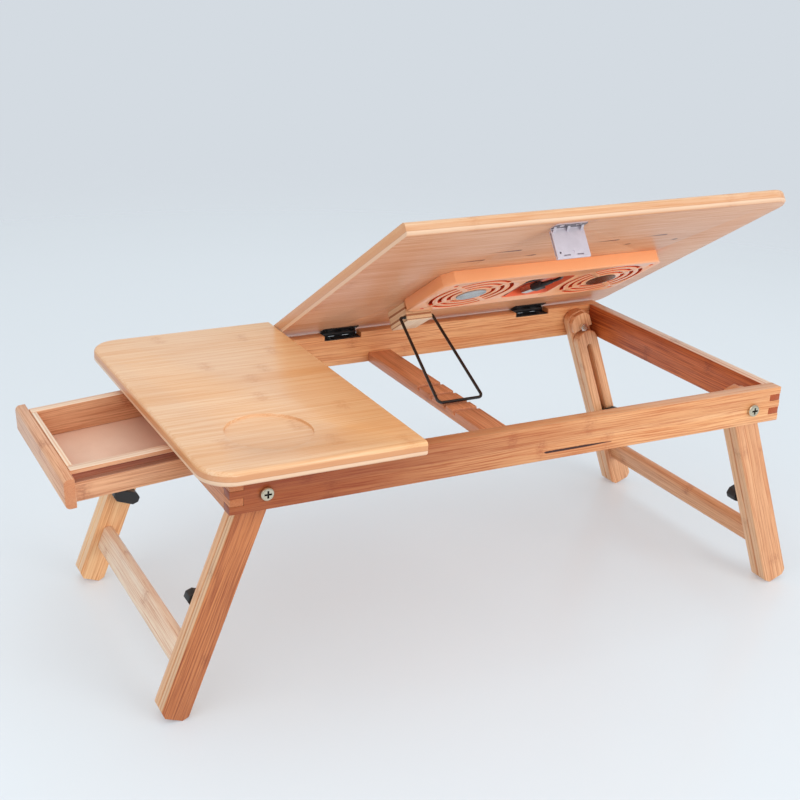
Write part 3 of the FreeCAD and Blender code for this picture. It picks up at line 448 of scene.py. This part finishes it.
def blankMaterial(name):
    material = bpy.data.materials.new(name)
    material.use_nodes = True
    tree = material.node_tree
    tree.nodes.clear()
    surface = put(tree, "BsdfPrincipled")
    output = put(tree, "OutputMaterial")
    feed(tree, output.inputs[0], surface.outputs[0])
    return material, tree, surface


def placeGroup(tree, group, values):
    node = put(tree, "Group")
    node.node_tree = group
    for name, value in values.items():
        feed(tree, node.inputs[name], value)
    return node.outputs


# Rotation of a board's own axes, from the way its grain and its strips run.
def boardAngles(along, across):
    gx = Vector(along).normalized()
    gy = Vector(across)
    gy = (gy - gx * gy.dot(gx)).normalized()
    gz = gx.cross(gy)
    return Matrix((gx, gy, gz)).transposed().to_euler("XYZ")


def boardSpace(tree, along, across, origin):
    coords = put(tree, "TexCoord")
    angles = boardAngles(along, across)
    outs = []
    for source, place in (("Object", origin), ("Normal", (0, 0, 0))):
        mapping = put(tree, "Mapping", vector_type="TEXTURE")
        mapping.inputs["Location"].default_value = place
        mapping.inputs["Rotation"].default_value = angles
        feed(tree, mapping.inputs["Vector"], coords.outputs[source])
        outs.append(mapping.outputs[0])
    return outs


woods = {
    "top": {"pale": rgb(241, 205, 170), "deep": rgb(228, 176, 130), "fibre": rgb(214, 150, 100),
            "knuckle": rgb(196, 128, 84)},
    "fixedTop": {"pale": rgb(248, 208, 168), "deep": rgb(236, 178, 124), "fibre": rgb(222, 152, 94),
                 "knuckle": rgb(206, 134, 82)},
    "rail": {"pale": rgb(244, 186, 132), "deep": rgb(220, 144, 88), "fibre": rgb(196, 108, 54),
             "knuckle": rgb(166, 82, 44)},
    "redRail": {"pale": rgb(216, 122, 64), "deep": rgb(184, 86, 38), "fibre": rgb(144, 54, 20),
                "knuckle": rgb(118, 44, 22)},
    "endRail": {"pale": rgb(228, 156, 104), "deep": rgb(198, 120, 72), "fibre": rgb(162, 86, 46),
                "knuckle": rgb(134, 66, 38)},
    "leg": {"pale": rgb(242, 188, 142), "deep": rgb(218, 148, 100), "fibre": rgb(190, 112, 66),
            "knuckle": rgb(160, 82, 48)},
    "redLeg": {"pale": rgb(211, 134, 82), "deep": rgb(174, 92, 48), "fibre": rgb(134, 56, 25),
               "knuckle": rgb(118, 48, 24)},
    "brightLeg": {"pale": rgb(255, 210, 158), "deep": rgb(242, 172, 116), "fibre": rgb(212, 132, 76),
                  "knuckle": rgb(178, 98, 56)},
    "paleLeg": {"pale": rgb(255, 236, 212), "deep": rgb(248, 208, 174), "fibre": rgb(214, 152, 112),
                "knuckle": rgb(196, 128, 90)},
    "bar": {"pale": rgb(240, 172, 126), "deep": rgb(208, 132, 88), "fibre": rgb(172, 96, 60),
            "knuckle": rgb(136, 70, 42)},
    "drawer": {"pale": rgb(242, 190, 148), "deep": rgb(218, 146, 102), "fibre": rgb(184, 106, 64),
               "knuckle": rgb(158, 84, 50)},
    "cream": {"pale": rgb(248, 222, 186), "deep": rgb(236, 196, 150), "fibre": rgb(210, 160, 112),
              "knuckle": rgb(190, 130, 88)},
}
# One of these colours is painted shade for the inside of the drawer grooves.
layerColors = {"core": rgb(212, 144, 98), "bottom": rgb(240, 206, 176), "joint": rgb(184, 122, 86),
               "under": rgb(237, 202, 186), "skinBlack": rgb(62, 28, 20), "skinHalo": rgb(204, 122, 76),
               "prick": rgb(104, 38, 22), "rim": rgb(246, 208, 162), "creamRim": rgb(255, 232, 204),
               "grooveShade": rgb(166, 88, 54), "darkPly": rgb(160, 92, 52)}
layerShares = {"under": 0.6, "bottom": 0.78, "joint": 0.5, "darkPly": 0.85, "root": 0.55, "halo": 0.5,
               "grooveShade": (0.7, 0.95)}
bumpHeights = {"wood": 0.00005, "plastic": 0.00003, "metal": 0.00001}
bumpStrength = 0.5
varnish = {"roughness": 0.24, "specular": 0.4}


def addBump(tree, surface, height, distance):
    bump = put(tree, "Bump")
    bump.inputs["Strength"].default_value = bumpStrength
    bump.inputs["Distance"].default_value = distance
    feed(tree, bump.inputs["Height"], height)
    feed(tree, surface.inputs["Normal"], bump.outputs[0])


# Panel layers: the sides show the core and the bottom layer; the underside is plainer and pinker.
def layered(tree, color, position, facing, coreStrength, thickness, bottomShare, topShare):
    layers = placeGroup(tree, ply, {"Position": position, "Facing": facing, "Thickness": thickness,
                                    "Bottom Share": bottomShare, "Top Share": topShare})
    under = product(tree, layers["Under"], layerShares["under"])
    color = mixColor(tree, under, color, layerColors["under"], "MULTIPLY")
    for label, key, share in (("Core", "core", coreStrength), ("Bottom", "bottom", layerShares["bottom"]),
                              ("Joint", "joint", layerShares["joint"])):
        color = mixColor(tree, product(tree, layers[label], share), color, layerColors[key])
    return color


# Dark plies on the sides of a block: the middle and half thickness of each, as shares of the block's.
def banded(tree, color, position, facing, thickness, dark):
    level = calc(tree, "DIVIDE", split(tree, position)[2], thickness)
    side = ramp(tree, calc(tree, "ABSOLUTE", split(tree, facing)[2]), *layerEdges["side"])
    for middle, half in dark:
        off = calc(tree, "ABSOLUTE", calc(tree, "SUBTRACT", level, middle))
        inside = ramp(tree, off, *(half * share for share in layerEdges["darkPly"]))
        mask = product(tree, side, inside, layerShares["darkPly"])
        color = mixColor(tree, mask, color, layerColors["darkPly"])
    return color


def bambooMaterial(name, wood, along, across, origin=(0, 0, 0), stripWidth=0.02, seed=0.0,
                   stripContrast=0.3, fibreContrast=0.8, knuckles=0.55, roughness=0.38, coat=0.18,
                   rim=0.0, rimColor="rim", panel=None, coreStrength=0.72, bands=None, shade=None,
                   groove=None, streak=None, marks=None):
    material, tree, surface = blankMaterial(name)
    position, facing = boardSpace(tree, along, across, origin)
    colors = woods[wood]
    board = placeGroup(tree, bamboo, {
        "Position": position, "Facing": facing, "Strip Width": stripWidth,
        "Knuckle Strength": knuckles, "Seed": seed, "Pale": colors["pale"], "Deep": colors["deep"],
        "Fibre": colors["fibre"], "Knuckle": colors["knuckle"], "Strip Contrast": stripContrast,
        "Fibre Contrast": fibreContrast, "Base Roughness": roughness, "Rim": layerColors[rimColor],
        "Rim Amount": rim})
    color = board["Color"]
    # Painted shade: the colour is multiplied darker along the grain, fading out between the two places given.
    if shade:
        x = split(tree, position)[0]
        amount = ramp(tree, x, shade["from"], shade["to"], shade["strength"], 0.0)
        color = mixColor(tree, amount, color, shade["color"], "MULTIPLY")
    # Painted shade inside the groove, stronger towards its top.
    if groove:
        level, depth = split(tree, position)[1:]
        low, high = groove["level"]
        inside = product(tree, between(tree, level, low, high), between(tree, depth, *groove["depth"]))
        grooveShade = ramp(tree, level, low, high, *layerShares["grooveShade"])
        color = mixColor(tree, product(tree, inside, grooveShade), color, layerColors["grooveShade"], "MULTIPLY")
    if panel:
        color = layered(tree, color, position, facing, coreStrength, **panel)
    if bands:
        color = banded(tree, color, position, facing, **bands)
    if marks:
        under = ramp(tree, split(tree, facing)[2], *layerEdges["under"])
        cracks = crackMask(tree, position, marks["places"], marks["radius"])
        color = mixColor(tree, product(tree, cracks, under), color, layerColors["prick"])
    if streak:
        sliver = placeGroup(tree, skin, {"Position": position, "Facing": facing, **streak})
        root = product(tree, sliver["Root"], layerShares["root"])
        halo = product(tree, sliver["Halo"], layerShares["halo"])
        color = mixColor(tree, root, color, colors["knuckle"])
        color = mixColor(tree, halo, color, layerColors["skinHalo"])
        color = mixColor(tree, sliver["Streak"], color, layerColors["skinBlack"])
    feed(tree, surface.inputs["Base Color"], color)
    feed(tree, surface.inputs["Roughness"], board["Roughness"])
    surface.inputs["Coat Weight"].default_value = coat
    surface.inputs["Coat Roughness"].default_value = varnish["roughness"]
    surface.inputs["Specular IOR Level"].default_value = varnish["specular"]
    addBump(tree, surface, board["Height"], bumpHeights["wood"])
    return material


# The optional overlay returns a mask and a colour that lie over the plain finish.
def grainMaterial(name, colorA, colorB, roughness, metallic=0.0, bump="plastic", grainScale=1800.0,
                  cloudScale=30.0, coat=0.0, specular=0.5, overlay=None):
    material, tree, surface = blankMaterial(name)
    coords = put(tree, "TexCoord")
    look = placeGroup(tree, surfaceGrain, {
        "Position": coords.outputs["Object"], "Grain Scale": grainScale, "Cloud Scale": cloudScale,
        "Color A": colorA, "Color B": colorB, "Base Roughness": roughness})
    color = look["Color"]
    surface.inputs["Metallic"].default_value = metallic
    if overlay:
        mask, cover = overlay(tree)
        color = mixColor(tree, mask, color, cover)
        feed(tree, surface.inputs["Metallic"], product(tree, calc(tree, "SUBTRACT", 1.0, mask), metallic))
    feed(tree, surface.inputs["Base Color"], color)
    feed(tree, surface.inputs["Roughness"], look["Roughness"])
    surface.inputs["Coat Weight"].default_value = coat
    surface.inputs["Specular IOR Level"].default_value = specular
    addBump(tree, surface, look["Height"], bumpHeights[bump])
    return material


lean = math.radians(33.3)       # panel above level
splay = math.radians(20.5)      # legs out of plumb
droop = math.radians(4.2)       # drawer below level
axes = {"x": (1, 0, 0), "y": (0, 1, 0), "z": (0, 0, 1)}
panelAcross = (0, math.cos(lean), -math.sin(lean))
panelNormal = Vector((0, math.sin(lean), math.cos(lean)))
legAxes = {"left": (math.sin(splay), 0, math.cos(splay)), "right": (-math.sin(splay), 0, math.cos(splay))}
drawerAxis = (math.cos(droop), 0, math.sin(droop))
drawerUp = (-drawerAxis[2], 0, drawerAxis[0])
plies = {"fixed": 0.0125, "tilting": 0.0122, "belowHinge": 0.0028, "block": 0.019}
# Painted shade: the front rail's colour is multiplied darker towards its left end, where the fixed panel's
# overhang shades it.
paintedShades = {"front_rail": {"from": 0.04, "to": 0.44, "strength": 0.95, "color": rgb(174, 120, 84)}}
# Groove in each drawer side, in board space: from and to along its height, and through its thickness. Its inside
# gets painted shade, darkest at its top under the rim.
drawerGrooves = {"drawer_side_front": {"level": (0.0168, 0.0248), "depth": (-0.0058, -0.0004)},
                 "drawer_side_back": {"level": (0.0168, 0.0248), "depth": (-0.0096, -0.0042)}}
skinOnRail = {"Start": 0.2925, "End": 0.366, "Height": 0.0073, "Thick": 0.0019}
# Cracks under the tilting panel: from the left end of the rail, from the hinge, length.
underCracks = {"radius": 0.0017, "places": (
    (0.3175, 0.2339, 0.0399), (0.2898, 0.2136, 0.0381), (0.3449, 0.2138, 0.0141), (0.4242, 0.2355, 0.0335),
    (0.4783, 0.2376, 0.0293), (0.5051, 0.2181, 0.0073), (0.4496, 0.2176, 0.0071))}


def lowCorner(name):
    return tuple(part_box(name)[0])


# Which way each wooden node's grain runs, its colour and its strips.
def boardOfNode():
    boards = {}
    boards["fixed_panel"] = dict(
        wood="fixedTop", along=axes["x"], across=axes["y"], origin=lowCorner("fixed_panel"),
        stripWidth=0.0215, seed=3.0,
        stripContrast=0.4, fibreContrast=0.55, knuckles=0.45, roughness=0.34, coat=0.25,
        # Painted shade: the right part of the fixed panel is multiplied warmer and a little darker, for the raised
        # panel's shadow and its warm bounce light.
        shade={"from": 0.19, "to": 0.09, "strength": 0.8, "color": rgb(255, 246, 222)},
        panel={"thickness": plies["fixed"], "bottomShare": 0.38, "topShare": 0.26})
    hinge = Vector(next(j["pos_m"] for j in frame["joints"] if j["name"] == "panel_tilt"))
    seat = hinge + panelNormal * plies["belowHinge"]
    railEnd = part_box("front_rail")[0].x
    boards["tilting_panel"] = dict(
        wood="top", along=axes["x"], across=panelAcross, origin=tuple(seat), stripWidth=0.0235, seed=11.0,
        stripContrast=0.6, fibreContrast=1.0, knuckles=0.4, roughness=0.4, coreStrength=0.33,
        panel={"thickness": plies["tilting"], "bottomShare": 0.30, "topShare": 0.30},
        marks={"radius": underCracks["radius"],
               "places": [(x + railEnd - seat.x, -s, length) for x, s, length in underCracks["places"]]})
    for k, name in enumerate(("front_rail", "back_rail")):
        boards[name] = dict(wood="rail", along=axes["x"], across=axes["z"], origin=lowCorner(name),
                            stripWidth=0.0165, seed=5.0 + 4 * k, fibreContrast=1.0, knuckles=0.35, rim=0.6,
                            shade=paintedShades.get(name), streak=skinOnRail if name == "front_rail" else None)
    for k, name in enumerate(("left_end_rail_front", "left_end_rail_back", "right_end_rail")):
        boards[name] = dict(wood="redRail" if name == "right_end_rail" else "endRail", along=axes["y"],
                            across=axes["z"], origin=lowCorner(name), stripWidth=0.0165, seed=21.0 + 3 * k,
                            fibreContrast=1.0, knuckles=0.45, rim=0.95, rimColor="creamRim")
    boards["notched_bar"] = dict(wood="bar", along=axes["y"], across=axes["x"],
                                 origin=lowCorner("notched_bar"), stripWidth=0.009, seed=31.0,
                                 stripContrast=0.5, fibreContrast=0.75)
    for k, name in enumerate(("drawer_batten_front", "drawer_batten_back")):
        boards[name] = dict(wood="rail", along=axes["x"], across=axes["z"], origin=lowCorner(name),
                            stripWidth=0.006, seed=41.0 + k)
    boards["prop_block"] = dict(
        wood="cream", along=panelAcross, across=(-1, 0, 0), origin=tuple(seat - panelNormal * plies["block"]),
        stripWidth=0.014, seed=43.0, fibreContrast=0.5, knuckles=0.1,
        bands={"thickness": plies["block"], "dark": ((0.03, 0.05), (0.30, 0.055), (0.70, 0.055))})
    legWoods = {"left_front_leg": "redLeg", "left_back_leg": "brightLeg", "left_back_slider": "brightLeg"}
    for side, axis in legAxes.items():
        square = (axis[2], 0, -axis[0])
        for k, end in enumerate(("front", "back")):
            for m, kind in enumerate(("leg", "slider")):
                name = side + "_" + end + "_" + kind
                boards[name] = dict(wood=legWoods.get(name, "leg"), along=axis, across=square,
                                    origin=lowCorner(name), stripWidth=0.0131, fibreContrast=0.9,
                                    rim=0.8 if name in legWoods else 0.5, knuckles=0.35,
                                    seed=51.0 + 5 * k + 2 * m + (17 if side == "left" else 0))
        packers, stretcher = side + "_leg_packers", side + "_stretcher"
        boards[packers] = dict(wood="leg", along=axis, across=square, origin=lowCorner(packers),
                               stripWidth=0.012, seed=71.0)
        boards[stretcher] = dict(wood="paleLeg" if side == "left" else "leg", along=axes["y"], across=axis,
                                 origin=lowCorner(stretcher), stripWidth=0.013, seed=77.0)
    for k, name in enumerate(("drawer_side_front", "drawer_side_back")):
        boards[name] = dict(wood="drawer", along=drawerAxis, across=drawerUp, origin=lowCorner(name),
                            stripWidth=0.0142, seed=81.0 + 3 * k, rim=1.0, rimColor="creamRim",
                            groove=drawerGrooves[name])
    for k, name in enumerate(("drawer_box_front", "drawer_box_back", "drawer_front_board", "drawer_pegs")):
        boards[name] = dict(wood="drawer", along=axes["y"], across=drawerUp, origin=lowCorner(name),
                            stripWidth=0.0142, seed=91.0 + 3 * k, rimColor="creamRim",
                            rim=0.0 if name == "drawer_front_board" else 1.0)
    return boards


# Angles in degrees, lengths in metres.
easing = {"segments": 2, "bevelOver": 35, "sharpOver": 32, "flatUnder": 0.6, "weld": 2e-6}


# A copy of a node with its arrises eased, which stands for the node.
def softBoard(name, width):
    mesh = nodes[name].data.copy()
    work = bmesh.new()
    work.from_mesh(mesh)
    bmesh.ops.remove_doubles(work, verts=work.verts, dist=easing["weld"])
    bmesh.ops.dissolve_limit(work, angle_limit=math.radians(easing["flatUnder"]), verts=work.verts,
                             edges=work.edges)
    work.to_mesh(mesh)
    work.free()
    piece = bpy.data.objects.new(name + "_eased", mesh)
    bpy.context.scene.collection.objects.link(piece)
    bevel = piece.modifiers.new("arris", "BEVEL")
    bevel.width = width
    bevel.segments = easing["segments"]
    bevel.limit_method = "ANGLE"
    bevel.angle_limit = math.radians(easing["bevelOver"])
    bevel.use_clamp_overlap = True
    bevel.harden_normals = False
    depsgraph = bpy.context.evaluated_depsgraph_get()
    final = bpy.data.meshes.new_from_object(piece.evaluated_get(depsgraph))
    piece.modifiers.clear()
    piece.data = final
    final.shade_smooth()
    final.set_sharp_from_angle(angle=math.radians(easing["sharpOver"]))
    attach(piece, bodyOfNode[name])
    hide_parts(name)
    return piece


def dress(piece, material):
    piece.data.materials.clear()
    piece.data.materials.append(material)


arris = {"fixed_panel": 0.0005, "tilting_panel": 0.0005, "drawer_pegs": 0.0003, "default": 0.0008}
boards = boardOfNode()
for name, settings in boards.items():
    piece = softBoard(name, arris.get(name, arris["default"]))
    dress(piece, bambooMaterial(name + "_bamboo", **settings))
print("wooden pieces made:", len(boards))

jointPlaces = {j["name"]: Vector(j["pos_m"]) for j in frame["joints"] if "pos_m" in j}
# The seat is where the panel's underside meets the hinge's plane; the well lies from and to along the
# rail, then from and to away from the hinge. The red is painted shade for the hollows of the orange plastic.
housing = {"seat": jointPlaces["panel_tilt"] + panelNormal * plies["belowHinge"], "fanReach": 0.0446,
           "face": -0.0117, "well": ((0.3655, 0.4205), (0.109, 0.168)), "wellMargin": 0.0002,
           "wellShare": 0.8, "screwSquare": 0.036, "screwReach": 0.0031, "share": 0.9,
           "wallFacing": (0.7, 0.4), "shadeRed": rgb(240, 62, 18)}
leafShade = {"facing": (-0.6, -0.9), "level": (-0.0075, -0.0045), "share": 0.85, "color": rgb(66, 60, 66)}
# Painted shade: the cross recess of each bolt head is coloured near black.
boltHead = {"recessReach": 0.0036, "recess": (0.0004, 0.0026), "share": 0.95, "dark": rgb(24, 20, 18)}


# Distance from an axis that stands square to the panel.
def offAxis(tree, position, place, shift=(0.0, 0.0)):
    local = place - housing["seat"]
    x, y = split(tree, position)[:2]
    dx = calc(tree, "SUBTRACT", x, local.x + shift[0])
    dy = calc(tree, "SUBTRACT", y, local.dot(Vector(panelAcross)) + shift[1])
    return reachOf(tree, dx, dy)


# Painted shade: the walls of the slots and of the screw wells, and the lead's well, are coloured deep red, the
# look of the orange plastic in its hollows.
def housingRecessShade(tree):
    position, facing = boardSpace(tree, axes["x"], panelAcross, tuple(housing["seat"]))
    x, y, z = split(tree, position)
    wall = ramp(tree, calc(tree, "ABSOLUTE", split(tree, facing)[2]), *housing["wallFacing"])
    deep = calc(tree, "GREATER_THAN", z, housing["face"])
    mask = 0.0
    for name, side in (("left_fan_spin", -1), ("right_fan_spin", 1)):
        off = offAxis(tree, position, jointPlaces[name])
        mask = calc(tree, "MAXIMUM", mask, calc(tree, "LESS_THAN", off, housing["fanReach"]))
        for end in (-1, 1):
            shift = (side * housing["screwSquare"], end * housing["screwSquare"])
            off = offAxis(tree, position, jointPlaces[name], shift)
            mask = calc(tree, "MAXIMUM", mask, calc(tree, "LESS_THAN", off, housing["screwReach"]))
    walls = product(tree, mask, wall, deep)
    (x0, x1), (s0, s1) = housing["well"]
    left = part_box("front_rail")[0].x - housing["seat"].x
    margin = housing["wellMargin"]
    within = product(tree, between(tree, x, left + x0 - margin, left + x1 + margin),
                     between(tree, y, -margin - s1, margin - s0), deep, housing["wellShare"])
    return product(tree, calc(tree, "MAXIMUM", walls, within), housing["share"]), housing["shadeRed"]


# The bracket's leaf lies in its own shade under the panel.
def leafOverlay(tree):
    position, facing = boardSpace(tree, axes["x"], panelAcross, tuple(housing["seat"]))
    under = ramp(tree, split(tree, facing)[2], *leafShade["facing"])
    near = ramp(tree, split(tree, position)[2], *leafShade["level"])
    return product(tree, under, near, leafShade["share"]), leafShade["color"]


# Painted shade in the cross recess of a bolt's head: near black down to its floor.
def recessShadeOverlay(tree):
    coords = put(tree, "TexCoord")
    x, y, z = split(tree, coords.outputs["Object"])
    low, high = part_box("pivot_bolts")
    fromMiddle = calc(tree, "ABSOLUTE", calc(tree, "SUBTRACT", y, (low.y + high.y) / 2))
    depth = calc(tree, "SUBTRACT", (high.y - low.y) / 2, fromMiddle)
    within = between(tree, depth, *boltHead["recess"])
    near = 0.0
    for name in ("left_legs_fold", "right_legs_fold"):
        dx = calc(tree, "SUBTRACT", x, jointPlaces[name].x)
        dz = calc(tree, "SUBTRACT", z, jointPlaces[name].z)
        near = calc(tree, "MAXIMUM", near, calc(tree, "LESS_THAN", reachOf(tree, dx, dz),
                                                boltHead["recessReach"]))
    return product(tree, near, within, boltHead["share"]), boltHead["dark"]


# Finishes by slot: the material's name, two colours that cloud into each other, roughness.
finishes = {
    "hardboard": ("hardboard", rgb(250, 213, 188), rgb(234, 190, 163), 0.62,
                  dict(grainScale=900.0, cloudScale=14.0, specular=0.3)),
    "black_hinge": ("blackHinge", rgb(38, 38, 40), rgb(22, 22, 24), 0.34, dict(grainScale=2400.0)),
    "black_wire": ("blackWire", rgb(26, 26, 28), rgb(14, 14, 16), 0.24, dict(grainScale=900.0, coat=0.3)),
    "plated_steel": ("platedSteel", rgb(244, 240, 234), rgb(222, 216, 210), 0.2,
                     dict(metallic=1.0, bump="metal", grainScale=1500.0, cloudScale=60.0)),
    "orange_plastic": ("orangePlastic", rgb(255, 184, 134), rgb(255, 175, 120), 0.3,
                       dict(grainScale=1200.0, cloudScale=8.0, coat=0.3, overlay=housingRecessShade)),
    "rotor_plastic": ("rotorPlastic", rgb(222, 84, 30), rgb(200, 62, 18), 0.42, dict(grainScale=1200.0)),
    "hub_metal": ("hubMetal", rgb(176, 182, 184), rgb(140, 146, 150), 0.2,
                  dict(metallic=1.0, bump="metal", cloudScale=90.0)),
    "black_rubber": ("blackRubber", rgb(30, 30, 31), rgb(18, 18, 19), 0.3, dict(grainScale=1500.0)),
    "black_plastic": ("blackPlastic", rgb(44, 46, 48), rgb(28, 30, 32), 0.42, dict(grainScale=2000.0)),
    "plug_shell": ("plugShell", rgb(214, 214, 214), rgb(190, 190, 190), 0.22,
                   dict(metallic=1.0, bump="metal")),
    "catch_steel": ("catchSteel", rgb(234, 224, 233), rgb(216, 207, 216), 0.46,
                    dict(metallic=0.6, bump="metal", grainScale=1500.0, cloudScale=60.0,
                         overlay=leafOverlay)),
    "bolt_steel": ("boltSteel", rgb(222, 212, 190), rgb(196, 186, 164), 0.24,
                   dict(metallic=1.0, bump="metal", grainScale=1500.0, cloudScale=60.0,
                        overlay=recessShadeOverlay)),
    # Painted reflection: a darker copy of the hub metal, for the dark reflection on the right fan's hub.
    "shaded_hub": ("shadedHubMetal", rgb(120, 112, 108), rgb(84, 78, 76), 0.16,
                 dict(metallic=1.0, bump="metal", cloudScale=90.0)),
}
# Nodes whose finish isn't their slot's own. The right fan's hub takes the darker hub copy as painted reflection.
ownFinish = {"fan_motor_right": "shaded_hub", "catch_bracket": "catch_steel", "catch_lip": "catch_steel",
             "pivot_bolts": "bolt_steel"}
easedPlastic = {"fan_housing": 0.0005, "usb_plug_body": 0.0006, "drawer_bottom": 0.0004}
for knob in ("left_front_knob", "left_back_knob", "right_front_knob", "right_back_knob"):
    easedPlastic[knob] = 0.0008
materials = {}
for finish, (title, colorA, colorB, roughness, extras) in finishes.items():
    materials[finish] = grainMaterial(title, colorA, colorB, roughness, **extras)
for name in nodes:
    if name in boards:
        continue
    piece = softBoard(name, easedPlastic[name]) if name in easedPlastic else nodes[name]
    dress(piece, materials[ownFinish.get(name, slotOfNode[name])])
print("other finishes set")

# A pale studio: the floor fades into a backdrop that only the camera sees. Slopes are sines of the view's
# angle above level; the fade lies from and to metres from the middle.
studio = {"floorColor": (0.865, 0.945, 1.0, 1.0), "floorSize": 16.0, "floorRoughness": 0.22,
          "floorSpecular": 0.4, "floorCover": 0.72, "fade": (0.95, 2.2),
          "worldColor": (0.95, 0.975, 1.0, 1.0), "worldStrength": 0.70,
          "backTop": rgb(212, 219, 226), "backLow": rgb(228, 233, 239), "slopes": (-0.54, -0.26)}
lamps = {
    "keyLamp": {"place": (-1.7, -0.9, 2.0), "aim": (0, 0, 0.15), "size": 2.2, "power": 15,
                "color": (1.0, 0.99, 0.97), "mirrored": True},
    "fillLamp": {"place": (1.1, -2.4, 0.85), "aim": (0.1, 0, 0.2), "size": 1.8, "power": 32,
                 "color": (1.0, 0.99, 0.98), "mirrored": False},
    "topLamp": {"place": (0.2, 0.2, 2.8), "aim": (0, 0, 0), "size": 2.4, "power": 9,
                "color": (1.0, 1.0, 1.0), "mirrored": False},
}


def makeFloor():
    half = studio["floorSize"] / 2
    mesh = bpy.data.meshes.new("studioFloor")
    corners = [(-half, -half, 0), (half, -half, 0), (half, half, 0), (-half, half, 0)]
    mesh.from_pydata(corners, [], [(0, 1, 2, 3)])
    floor = bpy.data.objects.new("studioFloor", mesh)
    bpy.context.scene.collection.objects.link(floor)
    material, tree, surface = blankMaterial("studioFloor")
    surface.inputs["Base Color"].default_value = studio["floorColor"]
    surface.inputs["Roughness"].default_value = studio["floorRoughness"]
    surface.inputs["Specular IOR Level"].default_value = studio["floorSpecular"]
    coords = put(tree, "TexCoord")
    length = put(tree, "VectorMath", operation="LENGTH")
    feed(tree, length.inputs[0], coords.outputs["Object"])
    cover = ramp(tree, length.outputs["Value"], *studio["fade"], studio["floorCover"], 0.0)
    feed(tree, surface.inputs["Alpha"], cover)
    mesh.materials.append(material)


def makeLamp(name, place, aim, size, power, color, mirrored):
    data = bpy.data.lights.new(name, "AREA")
    data.shape = "SQUARE"
    data.size = size
    data.energy = power
    data.color = color
    lamp = bpy.data.objects.new(name, data)
    lamp.location = place
    lamp.visible_glossy = mirrored
    lamp.rotation_euler = (Vector(aim) - Vector(place)).to_track_quat("-Z", "Y").to_euler()
    bpy.context.scene.collection.objects.link(lamp)


def makeWorld():
    world = bpy.data.worlds.new("studioWorld")
    bpy.context.scene.world = world
    world.use_nodes = True
    tree = world.node_tree
    tree.nodes.clear()
    light = put(tree, "Background")
    light.inputs[0].default_value = studio["worldColor"]
    light.inputs[1].default_value = studio["worldStrength"]
    coords = put(tree, "TexCoord")
    slope = split(tree, coords.outputs["Generated"])[2]
    backdrop = put(tree, "Background")
    level = ramp(tree, slope, *studio["slopes"])
    feed(tree, backdrop.inputs[0], mixColor(tree, level, studio["backLow"], studio["backTop"]))
    path = put(tree, "LightPath")
    choose = put(tree, "MixShader")
    output = put(tree, "OutputWorld")
    feed(tree, choose.inputs[0], path.outputs["Is Camera Ray"])
    feed(tree, choose.inputs[1], light.outputs[0])
    feed(tree, choose.inputs[2], backdrop.outputs[0])
    feed(tree, output.inputs[0], choose.outputs[0])


makeFloor()
for name, settings in lamps.items():
    makeLamp(name, **settings)
makeWorld()
print("studio made")
